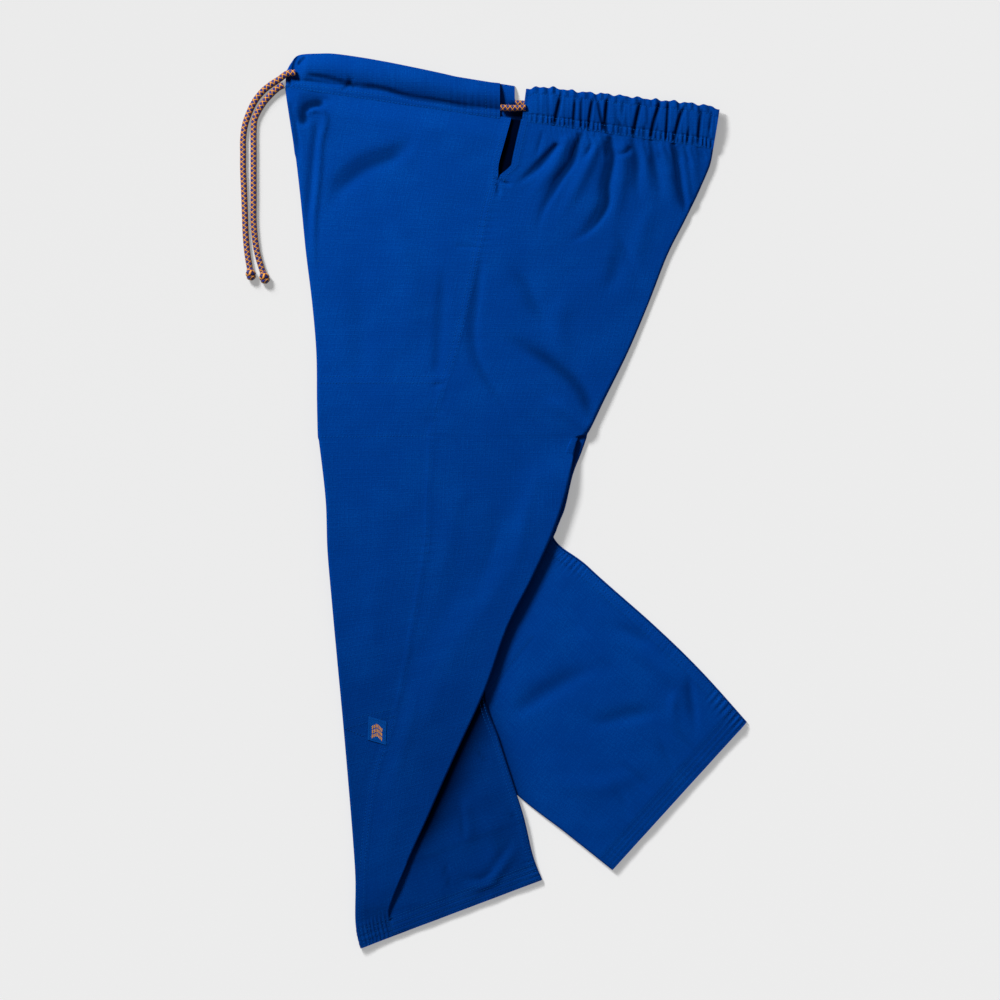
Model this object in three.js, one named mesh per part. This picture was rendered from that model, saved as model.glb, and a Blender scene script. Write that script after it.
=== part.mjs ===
// Martial-arts trousers in royal blue cotton, laid flat on their side and folded along the middle.
// Millimetres. X runs to the right of the laid garment, Y towards the waist, Z up from the surface.
import * as THREE from "three";

// Cloth and how its layers lie.
const CLOTH = 1.3;
const HALF = CLOTH / 2;
const SEAM_GAP = 0.3;
const PATCH_CLOTH = 0.9;
const PATCH_OUT = HALF + 2 * SEAM_GAP + PATCH_CLOTH / 2;
const FLOOR_LAYER = HALF;
const SECOND_LAYER = 2.75;
const PLEAT_TURN = (SECOND_LAYER - FLOOR_LAYER) / 2;
const FAR_LEG_STACK = 5.1;
const HIP_LEVEL = 5.2;
const LEG_LEVEL = 3.3;
const PLEAT_LIFT = 4.1;
const EDGE_LOFT = 2.2;
const WAIST_LIFT = 3.3;
const FAR_WAIST_LIFT = 2.4;
const WAIST_FADE = 45;
const FRONT_SOFT = 14;
const BACK_SOFT = 22;
const LAYER_CLEAR = 0.3;
const FAR_CLEAR = 3.0;

// Mid-heights of the panels where they are sewn to their casings, and how far below they reach their own.
const NEAR_FOOT = { front: 4.3, rear: 7.3 };
const FAR_FOOT = { front: 1.1, rear: 2.7 };
const FOOT_SWITCH = { from: -14, over: 20 };
const WAIST_RISE = 26;

// The far leg lifts the near one, from this far outside its front edge, over a ramp and below the crotch.
const LIFT = { outside: 72, ramp: 62, crotch: 205, fade: 110 };
// The near side falls from hip height to leg height below this Y.
const LEG_FALL = { from: 200, over: 110 };
// The tucked pleat swells the back edge: its reach in front of the edge, and its ends by Y.
const PLEAT = { reach: 32, ramp: 26, top: 70, topFade: 50, low: -505, lowFade: 70 };
// The far leg's upper layer is looser where the near leg leaves it bare.
const BARE = { from: 5, over: 30, loft: 1.6, edge: 0.4, edgeFade: 10 };
// How far the far side curls up round the front edge and seat at the hip, in degrees.
const HIP_CURL = 144;

// Waist casings and their cord.
const CASING = 2.4;
const CORD_DIAMETER = 7.2;
const CORD_RIDGE = 4.4;
const FAR_CORD_RIDGE = 3.6;
const GATHERS = 20;
const GATHER_DEPTH = 2.4;
const REAR_CASING = 4.2;
const FAR_REAR_CASING = 5.4;
const LAYER_REST = 0.4;
const KNOT_DIAMETER = 10.8;
const KNOT_LENGTH = 13;
const CORD_SHARE = 0.74;
const CORD_START = { x: -252, over: 14 };
const GATHER_WANDER = [
  { share: 0.45, turns: 9 },
  { share: 0.2, turns: 31 },
];

// Near side, a row for each station from waist to hem. A row starts on the front edge at x, y and runs
// back at its tilt in degrees. Along it: the side seam, the width of the side slit, the back edge of the
// outer layer, the inside leg seam, the depth of the tucked pleat and how far the pleat's cloth turns.
const NEAR = [
  { x: -265, y: 475, tilt: -8.2, seam: 262, slit: 12, back: 497, inseam: 480, depth: 4, turn: 180 },
  { x: -261, y: 447, tilt: -7.3, seam: 251, slit: 13, back: 488, inseam: 472, depth: 4, turn: 180 },
  { x: -256, y: 415, tilt: -6.6, seam: 238, slit: 15, back: 472, inseam: 458, depth: 4, turn: 180 },
  { x: -254, y: 400, tilt: -6.1, seam: 235, slit: 8, back: 465, inseam: 450, depth: 4, turn: 180 },
  { x: -252, y: 390, tilt: -5.9, seam: 232, slit: 0, back: 459, inseam: 445, depth: 4, turn: 180 },
  { x: -247, y: 346, tilt: -3.4, seam: 217, slit: 0, back: 441, inseam: 428, depth: 4, turn: 180 },
  { x: -241, y: 286, tilt: -0.6, seam: 200, slit: 0, back: 415, inseam: 402, depth: 4, turn: 180 },
  { x: -234, y: 229, tilt: -0.2, seam: 181, slit: 0, back: 387, inseam: 374, depth: 4, turn: 180 },
  { x: -229, y: 171, tilt: 0.0, seam: 162, slit: 0, back: 358, inseam: 345, depth: 4, turn: 180 },
  { x: -228, y: 114, tilt: 0.4, seam: 143, slit: 0, back: 330, inseam: 317, depth: 4, turn: 180 },
  { x: -227, y: 74, tilt: 0.6, seam: 133, slit: 0, back: 306, inseam: 296, depth: 5, turn: 180 },
  { x: -224, y: 53, tilt: 1.1, seam: 129, slit: 0, back: 292, inseam: 285, depth: 8, turn: 180 },
  { x: -218, y: 1, tilt: 2.4, seam: 121, slit: 0, back: 277, inseam: 270, depth: 14, turn: 180 },
  { x: -216, y: -56, tilt: 4.0, seam: 117, slit: 0, back: 261, inseam: 253, depth: 25, turn: 180 },
  { x: -211, y: -116, tilt: 6.3, seam: 103, slit: 0, back: 230, inseam: 224, depth: 39, turn: 180 },
  { x: -205, y: -183, tilt: 11.0, seam: 87, slit: 0, back: 199, inseam: 193, depth: 55, turn: 180 },
  { x: -198, y: -258, tilt: 14.3, seam: 65, slit: 0, back: 168, inseam: 168, depth: 60, turn: 180 },
  { x: -192, y: -327, tilt: 16.8, seam: 35, slit: 0, back: 129, inseam: 181, depth: 48, turn: 180 },
  { x: -187, y: -388, tilt: 19.3, seam: 20, slit: 0, back: 94, inseam: 195, depth: 34, turn: 180 },
  { x: -184, y: -436, tilt: 20.9, seam: 13, slit: 0, back: 65, inseam: 207, depth: 16, turn: 180 },
  { x: -184, y: -484, tilt: 20.6, seam: 12, slit: 0, back: 42, inseam: 218, depth: 3, turn: 60 },
  { x: -178, y: -514, tilt: 20.7, seam: 12, slit: 0, back: 38, inseam: 223, depth: 3, turn: 18 },
];
const NEAR_LEG_TOP = 9;
const NEAR_PLEAT_TOP = 11;

// Far side, read the same way. Its leg swings back from under the near one.
const FAR = [
  { x: -264, y: 474, tilt: -8.2, seam: 272, slit: 4, back: 495 },
  { x: -255, y: 413, tilt: -6.6, seam: 252, slit: 5, back: 470 },
  { x: -251, y: 389, tilt: -5.9, seam: 244, slit: 0, back: 457 },
  { x: -240, y: 286, tilt: -0.6, seam: 205, slit: 0, back: 413 },
  { x: -228, y: 171, tilt: 0.0, seam: 170, slit: 0, back: 356 },
  { x: -227, y: 120, tilt: 0.4, seam: 155, slit: 0, back: 331 },
  { x: -221, y: 84, tilt: 0.6, seam: 143, slit: 0, back: 300 },
  { x: -216, y: 58, tilt: 2.0, seam: 138, slit: 0, back: 275 },
  { x: -188, y: -68, tilt: 17.5, seam: 120, slit: 0, back: 237 },
  { x: -139, y: -183, tilt: 37.7, seam: 112, slit: 0, back: 231 },
  { x: -70, y: -269, tilt: 51.1, seam: 112, slit: 0, back: 247 },
  { x: 3, y: -339, tilt: 51.9, seam: 112, slit: 0, back: 251 },
  { x: 57, y: -381, tilt: 50.6, seam: 110, slit: 0, back: 243 },
  { x: 111, y: -424, tilt: 47.7, seam: 108, slit: 0, back: 230 },
];
const FAR_LEG_TOP = 7;
const FAR_LAYER = 2.6;

// Where the near leg ends over the far one, from crotch to hem.
const NEAR_RIM = [
  { x: 44, y: -38 },
  { x: -35, y: -217 },
  { x: -11, y: -293 },
  { x: 3, y: -339 },
  { x: 30, y: -435 },
];

// The largest folds, each a soft channel or ridge through three places.
const NEAR_FOLDS = [
  { x0: 43, y0: 404, x1: 22, y1: 381, x2: -3, y2: 360, width: 9, height: -3.6 },
  { x0: 72, y0: 412, x1: 49, y1: 366, x2: 25, y2: 297, width: 10, height: -3.6 },
  { x0: 109, y0: 407, x1: 105, y1: 363, x2: 55, y2: 294, width: 13, height: -4.4 },
  { x0: 135, y0: 409, x1: 140, y1: 389, x2: 145, y2: 335, width: 8, height: -2.6 },
  { x0: 155, y0: 410, x1: 160, y1: 386, x2: 168, y2: 335, width: 8, height: -2.4 },
  { x0: 182, y0: 407, x1: 187, y1: 384, x2: 195, y2: 340, width: 9, height: -2.8 },
  { x0: 58, y0: 413, x1: 42, y1: 380, x2: 8, y2: 340, width: 10, height: 2.4 },
  { x0: 92, y0: 409, x1: 78, y1: 375, x2: 45, y2: 315, width: 11, height: 2.8 },
  { x0: 123, y0: 407, x1: 122, y1: 370, x2: 108, y2: 310, width: 12, height: 2.8 },
  { x0: 170, y0: 408, x1: 176, y1: 370, x2: 183, y2: 320, width: 10, height: 2.2 },
  { x0: 206, y0: 402, x1: 211, y1: 380, x2: 212, y2: 352, width: 10, height: 2.0 },
  { x0: -111, y0: 422, x1: -163, y1: 393, x2: -216, y2: 323, width: 12, height: -2.8 },
  { x0: -249, y0: 452, x1: -236, y1: 458, x2: -219, y2: 452, width: 8, height: -2.6 },
  { x0: -221, y0: 437, x1: -230, y1: 331, x2: -229, y2: 243, width: 6, height: 2.0 },
  { x0: -243, y0: 436, x1: -242, y1: 340, x2: -236, y2: 260, width: 6, height: -1.6 },
  { x0: -28, y0: 360, x1: -50, y1: 240, x2: -90, y2: 90, width: 6, height: 1.3 },
  { x0: -83, y0: 267, x1: -88, y1: 199, x2: -92, y2: 147, width: 10, height: -1.4 },
  { x0: -43, y0: 251, x1: -48, y1: 180, x2: 2, y2: 71, width: 10, height: -1.6 },
  { x0: -28, y0: 190, x1: 48, y1: 155, x2: 80, y2: 90, width: 13, height: -2.2 },
  { x0: -16, y0: 283, x1: 23, y1: 220, x2: 48, y2: 191, width: 12, height: -1.4 },
];
const FAR_FOLDS = [
  { x0: 102, y0: -189, x1: 52, y1: -208, x2: -11, y2: -250, width: 16, height: -1.3 },
  { x0: 175, y0: -240, x1: 128, y1: -246, x2: 76, y2: -261, width: 14, height: -1.1 },
  { x0: 111, y0: -150, x1: 164, y1: -190, x2: 205, y2: -232, width: 12, height: 1.2 },
  { x0: 30, y0: -310, x1: 90, y1: -330, x2: 160, y2: -300, width: 18, height: 1.0 },
];

// Upper and lower edges of the waist casings.
const NEAR_FRONT_WAIST = [
  { x: -264, top: 492, low: 475.6 },
  { x: -258, top: 503, low: 474.8 },
  { x: -249, top: 512, low: 473.4 },
  { x: -225, top: 514, low: 469.8 },
  { x: -201, top: 513, low: 466.2 },
  { x: -151, top: 505, low: 458.8 },
  { x: -92, top: 493, low: 450.2 },
  { x: -52, top: 484, low: 444.4 },
  { x: -18, top: 480, low: 439.4 },
];
const FAR_FRONT_WAIST = [
  { x: -262, top: 488, low: 475.6 },
  { x: -248, top: 509, low: 473.4 },
  { x: -201, top: 512, low: 466.4 },
  { x: -92, top: 492, low: 450.4 },
  { x: -1, top: 477, low: 437.2 },
];
const NEAR_BACK_WAIST = [
  { x: 12, top: 473, low: 435.6 },
  { x: 36, top: 475, low: 432 },
  { x: 71, top: 470, low: 427 },
  { x: 105, top: 467, low: 422 },
  { x: 157, top: 461, low: 414.6 },
  { x: 189, top: 458, low: 410 },
  { x: 224, top: 453, low: 405 },
  { x: 234, top: 449, low: 403.6 },
];
const FAR_BACK_WAIST = [
  { x: 12.4, top: 470, low: 435.7 },
  { x: 71, top: 467, low: 427.2 },
  { x: 157, top: 458, low: 414.8 },
  { x: 230, top: 448, low: 404.4 },
];

// Drawstring ends: the route of each from the front of the waist to its knot.
const CORD_A = [
  [-252.5, 491, 9.2], [-262, 490, 9], [-271, 484, 7.4], [-281, 478, 5.2], [-290, 471, 3.9],
  [-299, 460, 3.7], [-306, 446, 3.7], [-311, 431, 3.7], [-313, 415, 3.7], [-313, 398, 3.7],
  [-313, 381, 3.7], [-312, 358, 3.7], [-311, 331, 3.7], [-310, 305, 3.7], [-308, 284, 3.7],
  [-305, 266, 3.8],
];
const CORD_B = [
  [-266.5, 477.3, 5.6], [-273, 474, 5.2], [-281, 467, 4.0], [-289, 458, 3.7], [-296, 447, 3.7],
  [-300, 437, 3.7], [-301, 423, 3.7], [-301, 401, 3.7], [-301, 375, 3.7], [-301, 348, 3.7],
  [-301, 322, 3.7], [-299, 299, 3.7], [-296, 282, 3.7], [-290, 262, 3.8],
];

// The cord where it crosses the side slit, in the near casing and in the far one.
const NEAR_CROSSING = [[-17.5, 451, 10], [-4, 450.4, 9.8], [11.5, 451, 10]];
const FAR_CROSSING = [[-0.4, 457, 4.2], [6, 456.6, 4.1], [11.4, 456.2, 4.2]];

// The small plain label on the shin and the gusset that shows behind the near thigh.
const LABEL = { corner: [-169, -247], across: [21, -6], down: [-1, -27], cloth: 0.8 };
const GUSSET = [
  { x: 76.5, y: 56, inner: 50 },
  { x: 72, y: 44, inner: 46 },
  { x: 64, y: 23, inner: 39 },
  { x: 57, y: -6, inner: 33.5 },
  { x: 51, y: -24, inner: 35 },
];
const GUSSET_LEVEL = 4.2;
const GUSSET_TAB = 2;

// Cotton, braided cord and woven label.
const BLUE = new THREE.MeshStandardMaterial({ color: 0x013d90, roughness: 0.88, metalness: 0 });
const CORD = new THREE.MeshStandardMaterial({ color: 0x7a5a6a, roughness: 0.8, metalness: 0 });
const LABEL_BLUE = new THREE.MeshStandardMaterial({ color: 0x0c4f9c, roughness: 0.75, metalness: 0 });

const garment = new THREE.Group();
const mix = (a, b, t) => a + (b - a) * t;
const clamp01 = (t) => Math.min(1, Math.max(0, t));
const ease = (t) => clamp01(t) ** 2 * (3 - 2 * clamp01(t));
const radians = THREE.MathUtils.degToRad;

// A row of a table at a fractional index, bending smoothly from row to row.
function station(table, v) {
  const i = Math.min(table.length - 2, Math.max(0, Math.floor(v)));
  const t = v - i;
  const before = table[Math.max(0, i - 1)];
  const after = table[Math.min(table.length - 1, i + 2)];
  const row = {};
  for (const key of Object.keys(table[i])) {
    const [a, b, c, d] = [before[key], table[i][key], table[i + 1][key], after[key]];
    const straight = key === "slit" || key === "depth" || key === "turn";
    const bend = 0.5 * ((c - a) * t + (2 * a - 5 * b + 4 * c - d) * t * t + (3 * b - a - 3 * c + d) * t ** 3);
    row[key] = straight ? mix(b, c, t) : b + bend;
  }
  return row;
}

// The place in plan at a distance along a row.
function along(row, s) {
  const a = radians(row.tilt);
  return { x: row.x + s * Math.cos(a), y: row.y + s * Math.sin(a) };
}

// Distance to the nearest stretch of a line through points, positive on its left.
function sideOf(points, x, y) {
  let best = Infinity;
  let side = 1;
  for (let i = 0; i + 1 < points.length; i++) {
    const [a, b] = [points[i], points[i + 1]];
    const [dx, dy] = [b.x - a.x, b.y - a.y];
    const t = clamp01(((x - a.x) * dx + (y - a.y) * dy) / (dx * dx + dy * dy));
    const gap = Math.hypot(x - a.x - t * dx, y - a.y - t * dy);
    if (gap < best) {
      best = gap;
      side = dx * (y - a.y) - dy * (x - a.x) > 0 ? 1 : -1;
    }
  }
  return best * side;
}

// Height that a table of folds adds at a place.
function folds(table, x, y) {
  let sum = 0;
  for (const f of table) {
    const line = [{ x: f.x0, y: f.y0 }, { x: f.x1, y: f.y1 }, { x: f.x2, y: f.y2 }];
    const across = Math.abs(sideOf(line, x, y)) / f.width;
    if (across < 1.6) sum += f.height * Math.exp(-2.2 * across * across);
  }
  return sum;
}

// Distance below the lower edge of the waist casings.
function belowWaist(x, y) {
  const a = radians(NEAR[0].tilt);
  return Math.max(0, (x - NEAR[0].x) * Math.sin(a) - (y - NEAR[0].y) * Math.cos(a));
}

// The far leg's front edge, from hip to hem.
const FAR_EDGE = [];
for (let v = 5; v < FAR.length; v += 0.5) FAR_EDGE.push(along(station(FAR, Math.min(v, FAR.length - 1)), 0));

// How high the far leg holds up the near one.
function lift(x, y) {
  const over = ease((sideOf(FAR_EDGE, x, y) + LIFT.outside) / LIFT.ramp);
  return FAR_LEG_STACK * over * ease((LIFT.crotch - y) / LIFT.fade);
}

// Height of a panel where it meets its casing, from the front's to the rear's.
const waistFoot = (x, foot) => mix(foot.front, foot.rear, ease((x - FOOT_SWITCH.from) / FOOT_SWITCH.over));

// Mid-height of the near outer layer.
function outerHeight(x, y) {
  const up = lift(x, y);
  const leg = ease((LEG_FALL.from - y) / LEG_FALL.over);
  const row = station(NEAR, rowAt(NEAR, y));
  const fromFront = x - row.x;
  const toBack = along(row, row.back).x - x;
  const ends = ease((PLEAT.top - y) / PLEAT.topFade) * ease((y - PLEAT.low) / PLEAT.lowFade);
  const pleat = ease((row.depth + PLEAT.reach - toBack) / PLEAT.ramp) * ends;
  const base = up + mix(HIP_LEVEL, LEG_LEVEL, leg) + PLEAT_LIFT * pleat;
  const frontEdge = Math.exp(-Math.max(0, fromFront) / FRONT_SOFT);
  const backEdge = Math.exp(-Math.max(0, toBack) / BACK_SOFT) * pleat;
  const below = belowWaist(x, y);
  const rise = ease(below / WAIST_RISE);
  const loft = EDGE_LOFT * leg * (frontEdge + backEdge) + WAIST_LIFT * Math.exp(-below / WAIST_FADE);
  const folded = folds(NEAR_FOLDS, x, y) * mix(0.4, 1, rise);
  const height = mix(waistFoot(x, NEAR_FOOT), base + loft, rise) + folded;
  return Math.max(height, up + SECOND_LAYER + LAYER_CLEAR, farFloor(x, y) + FAR_CLEAR);
}

// The fractional row whose front edge is level with y.
function rowAt(table, y) {
  for (let i = 0; i + 1 < table.length; i++)
    if (y >= table[i + 1].y) return Math.max(0, i + (table[i].y - y) / (table[i].y - table[i + 1].y));
  return table.length - 1;
}

// Mid-heights of the far side's layers.
function farFloor(x, y) {
  const below = belowWaist(x, y);
  const usual = FLOOR_LAYER + FAR_WAIST_LIFT * Math.exp(-below / WAIST_FADE);
  return mix(waistFoot(x, FAR_FOOT), usual, ease(below / WAIST_RISE));
}
function farTop(x, y) {
  const bare = ease((sideOf(NEAR_RIM, x, y) - BARE.from) / BARE.over);
  return FAR_LAYER + bare * (BARE.loft + folds(FAR_FOLDS, x, y));
}

// Closed solid between two grids of points, over the cells that are kept.
function solid(name, rows, cols, over, under, material, keep = () => true) {
  const at = (i, j) => i * (cols + 1) + j;
  const half = (rows + 1) * (cols + 1);
  const spots = [];
  for (const grid of [over, under])
    for (let i = 0; i <= rows; i++)
      for (let j = 0; j <= cols; j++) spots.push(grid(i, j));
  const kept = (i, j) => i >= 0 && j >= 0 && i < rows && j < cols && keep(i, j);
  const faces = [];
  const quad = (a, b, c, d) => faces.push([a, b, c], [a, c, d]);
  for (let i = 0; i < rows; i++)
    for (let j = 0; j < cols; j++) {
      if (!kept(i, j)) continue;
      const [a, b, c, d] = [at(i, j), at(i, j + 1), at(i + 1, j + 1), at(i + 1, j)];
      quad(a, b, c, d);
      quad(half + d, half + c, half + b, half + a);
      if (!kept(i - 1, j)) quad(b, a, half + a, half + b);
      if (!kept(i + 1, j)) quad(d, c, half + c, half + d);
      if (!kept(i, j - 1)) quad(a, d, half + d, half + a);
      if (!kept(i, j + 1)) quad(c, b, half + b, half + c);
    }
  let volume = 0;
  for (const [a, b, c] of faces) volume += spots[a].dot(spots[b].clone().cross(spots[c]));
  const used = new Map();
  const positions = [];
  const index = [];
  for (const face of faces) {
    if (volume < 0) face.reverse();
    for (const spot of face) {
      if (!used.has(spot)) {
        used.set(spot, used.size);
        positions.push(...spots[spot].toArray());
      }
      index.push(used.get(spot));
    }
  }
  const geometry = new THREE.BufferGeometry();
  geometry.setAttribute("position", new THREE.Float32BufferAttribute(positions, 3));
  geometry.setIndex(index);
  geometry.computeVertexNormals();
  const mesh = new THREE.Mesh(geometry, material);
  mesh.name = name;
  garment.add(mesh);
}

// A wall of cloth about a grid of mid points, moved out from them where it lies on another wall.
function wall(name, rows, cols, middle, thickness, out, material, keep) {
  const mid = [];
  for (let i = 0; i <= rows; i++) {
    mid.push([]);
    for (let j = 0; j <= cols; j++) mid[i].push(middle(i, j));
  }
  const pick = (i, j) => mid[Math.min(rows, Math.max(0, i))][Math.min(cols, Math.max(0, j))];
  const normal = (i, j) => {
    const across = pick(i, j + 1).clone().sub(pick(i, j - 1));
    const down = pick(i + 1, j).clone().sub(pick(i - 1, j));
    return across.cross(down).normalize();
  };
  const flip = normal(0, 1).z < 0 ? -1 : 1;
  const face = (far) => (i, j) => mid[i][j].clone().addScaledVector(normal(i, j), flip * far);
  solid(name, rows, cols, face(out + thickness / 2), face(out - thickness / 2), material, keep);
}

// Front edge of a near row: where the outer layer starts to turn under, its height and its turn.
function frontTurn(row) {
  let start = 4;
  let turn = 2;
  for (let pass = 0; pass < 3; pass++) {
    const spot = along(row, start);
    const hip = row.y > NEAR[NEAR_LEG_TOP].y + 1;
    const below = hip ? farFloor(spot.x, spot.y) : lift(spot.x, spot.y) + FLOOR_LAYER;
    turn = (outerHeight(spot.x, spot.y) - below) / 2;
    start = turn + HALF;
  }
  return { start, turn };
}

const point = (row, s, z) => {
  const spot = along(row, s);
  return new THREE.Vector3(spot.x, spot.y, z);
};
const onOuter = (row, s) => {
  const spot = along(row, s);
  return new THREE.Vector3(spot.x, spot.y, outerHeight(spot.x, spot.y));
};
const onLift = (row, s, z) => {
  const spot = along(row, s);
  return new THREE.Vector3(spot.x, spot.y, z + lift(spot.x, spot.y));
};

// Near front panel: side seam, round the front edge and under the leg to the inside seam. The knee
// patch lies on its outer face, from the side seam to the front edge.
function nearFront() {
  const [outer, bend, inner] = [11, 4, 9];
  const rows = (NEAR.length - 1) * 2;
  const middle = (i, j) => {
    const row = station(NEAR, i / 2);
    const { start, turn } = frontTurn(row);
    if (j <= outer) return onOuter(row, mix(row.seam - SEAM_GAP / 2, start, j / outer));
    const edge = onOuter(row, start);
    if (j <= outer + bend) {
      const a = (Math.PI * (j - outer)) / bend;
      return point(row, start - turn * Math.sin(a), edge.z - turn * (1 - Math.cos(a)));
    }
    const end = row.inseam - HALF - PLEAT_TURN - 2 * SEAM_GAP;
    return onLift(row, mix(start, end, (j - outer - bend) / inner), FLOOR_LAYER);
  };
  const keep = (i, j) => i >= NEAR_LEG_TOP * 2 || j < outer + bend / 2;
  wall("near_front_panel", rows, outer + bend + inner, middle, CLOTH, 0, BLUE, keep);
  const [top, low] = [17, 32];
  const patch = (i, j) => middle(top + i, j);
  wall("near_knee_patch", low - top, outer, patch, PATCH_CLOTH, PATCH_OUT, BLUE);
}

// Near back panel: side seam to the back edge, under and back in the pleat, then out to the inside seam.
function nearBack() {
  const [outer, bend, back, bend2, tuck, hem] = [19, 4, 2, 3, 5, 3];
  const cols = outer + bend + back + bend2 + tuck + hem;
  const rows = (NEAR.length - 1) * 2;
  const middle = (i, j) => {
    const row = station(NEAR, i / 2);
    const hip = i < NEAR_PLEAT_TOP * 2;
    const theta = radians(row.turn);
    let turn = 2;
    let start = row.back - 3;
    let run = 0;
    for (let pass = 0; pass < 3; pass++) {
      const spot = onOuter(row, start);
      const under = hip ? farFloor(spot.x, spot.y) : lift(spot.x, spot.y) + SECOND_LAYER;
      const drop = spot.z - under;
      run = row.turn > 175 ? row.depth : Math.min(row.depth, (0.3 * drop) / Math.sin(theta));
      const turns = (drop - (row.turn > 175 ? 0 : run * Math.sin(theta))) / (1 - Math.cos(theta));
      turn = hip ? drop / 2 : mix(turns / 2, turns - PLEAT_TURN, ease((row.turn - 90) / 90));
      start = row.back - (turn + HALF) * (row.turn >= 90 ? 1 : Math.sin(theta));
    }
    if (j <= outer) return onOuter(row, mix(row.seam + row.slit + SEAM_GAP / 2, start, j / outer));
    const edge = onOuter(row, start);
    let level = edge.z - lift(edge.x, edge.y);
    let s = start;
    const arc = (radius, a, way) => {
      s += radius * Math.sin(a);
      level -= way * radius * (1 - Math.cos(a));
    };
    const first = Math.min(1, (j - outer) / bend) * (hip ? Math.PI : theta);
    arc(turn, first, 1);
    if (hip || j <= outer + bend) return onLift(row, s, level);
    const passed = Math.min(1, (j - outer - bend) / back) * run;
    s += passed * Math.cos(theta);
    level -= passed * Math.sin(theta);
    if (j <= outer + bend + back) return onLift(row, s, level);
    const second = level - SECOND_LAYER;
    const small = second / (1 - Math.cos(theta));
    const a2 = theta * (1 - Math.min(1, (j - outer - bend - back) / bend2));
    s += small * (Math.sin(theta) - Math.sin(a2));
    level -= small * (Math.cos(a2) - Math.cos(theta));
    if (j <= outer + bend + back + bend2) return onLift(row, s, level);
    const wrap = row.inseam - HALF - PLEAT_TURN;
    const t = Math.min(1, (j - outer - bend - back - bend2) / tuck);
    s = mix(s, wrap, t);
    if (j <= cols - hem) return onLift(row, s, SECOND_LAYER);
    const a3 = (Math.PI * (j - cols + hem)) / hem;
    return onLift(row, wrap + PLEAT_TURN * Math.sin(a3), SECOND_LAYER - PLEAT_TURN * (1 - Math.cos(a3)));
  };
  const keep = (i, j) => i >= NEAR_PLEAT_TOP * 2 || j < outer + bend / 2;
  wall("near_back_panel", rows, cols, middle, CLOTH, 0, BLUE, keep);
}

// Far front panel: lies on the surface, then turns up at the leg's front edge and over to the inside
// seam. Its knee patch shows on the upper layer.
function farFront() {
  const [floor, bend, inner] = [6, 4, 10];
  const rows = (FAR.length - 1) * 2;
  const middle = (i, j) => {
    const row = station(FAR, i / 2);
    const hip = i < FAR_LEG_TOP * 2;
    let start = 4;
    let turn = 2;
    for (let pass = 0; pass < 3; pass++) {
      const spot = along(row, start);
      const above = hip ? outerHeight(spot.x, spot.y) : farTop(spot.x, spot.y) + BARE.edge;
      turn = (above - farFloor(spot.x, spot.y)) / 2;
      start = turn + HALF;
    }
    const s = mix(row.seam - SEAM_GAP / 2, start, Math.min(1, j / floor));
    const spot = along(row, s);
    if (j <= floor) return point(row, s, farFloor(spot.x, spot.y));
    if (j <= floor + bend) {
      const a = (radians(hip ? HIP_CURL : 180) * (j - floor)) / bend;
      return point(row, start - turn * Math.sin(a), farFloor(spot.x, spot.y) + turn * (1 - Math.cos(a)));
    }
    const t = (j - floor - bend) / inner;
    const end = row.back - HALF - (FAR_LAYER - FLOOR_LAYER) / 2 - 2 * SEAM_GAP;
    const reach = mix(start, end, t);
    const top = along(row, reach);
    const seam = ease((end - reach) / 8);
    const height = farTop(top.x, top.y) + BARE.edge * Math.exp(-reach / BARE.edgeFade);
    return point(row, reach, mix(FAR_LAYER, height, seam));
  };
  const keep = (i, j) => i >= FAR_LEG_TOP * 2 || j < floor + bend / 2;
  wall("far_front_panel", rows, floor + bend + inner, middle, CLOTH, 0, BLUE, keep);
  const [top, low, from, to] = [17, 20, floor + bend + 1, floor + bend + 6];
  const patch = (i, j) => middle(top + i, from + j);
  wall("far_knee_patch", low - top, to - from, patch, PATCH_CLOTH, PATCH_OUT, BLUE);
}

// Far back panel: lies on the surface and curls up round the inside seam, or up to the seat seam.
function farBack() {
  const [floor, bend] = [7, 4];
  const rows = (FAR.length - 1) * 2;
  const middle = (i, j) => {
    const row = station(FAR, i / 2);
    const hip = i < FAR_LEG_TOP * 2;
    let start = row.back - 3;
    let turn = (FAR_LAYER - FLOOR_LAYER) / 2;
    for (let pass = 0; pass < 3; pass++) {
      const spot = along(row, start);
      if (hip) turn = (outerHeight(spot.x, spot.y) - farFloor(spot.x, spot.y)) / 2;
      start = row.back - turn - HALF;
    }
    const s = mix(row.seam + row.slit + SEAM_GAP / 2, start, Math.min(1, j / floor));
    const spot = along(row, s);
    const a = Math.max(0, (radians(hip ? HIP_CURL : 180) * (j - floor)) / bend);
    return point(row, s + turn * Math.sin(a), farFloor(spot.x, spot.y) + turn * (1 - Math.cos(a)));
  };
  const keep = (i, j) => i >= FAR_LEG_TOP * 2 || j < floor + bend / 2;
  wall("far_back_panel", rows, floor + bend, middle, CLOTH, 0, BLUE, keep);
}

// A casing between two edges. Heights are given from the upper edge, 0, to the lower edge, 1.
function casing(name, table, stations, across, under, over) {
  const spot = (i, j, height) => {
    const u = i / stations;
    const row = station(table, u * (table.length - 1));
    const w = j / across;
    const rim = Math.min(1, Math.min(w, 1 - w) * 6);
    const y = mix(row.top, row.low + SEAM_GAP, w);
    return new THREE.Vector3(row.x, y, height(u, w, row.x, Math.sqrt(rim)));
  };
  solid(name, stations, across, (i, j) => spot(i, j, over), (i, j) => spot(i, j, under), BLUE);
}

// Height of the cord inside a casing: a ridge along its upper three quarters.
function cordRidge(w, x) {
  const started = ease((x - CORD_START.x) / CORD_START.over);
  return Math.sin(Math.PI * clamp01(w / CORD_SHARE)) ** 0.8 * started;
}

// Uneven gathers along an elastic casing.
function gather(u) {
  let turns = GATHERS * u;
  for (const wander of GATHER_WANDER) turns += wander.share * Math.sin(wander.turns * u);
  return Math.abs(Math.sin(Math.PI * turns));
}

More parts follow.
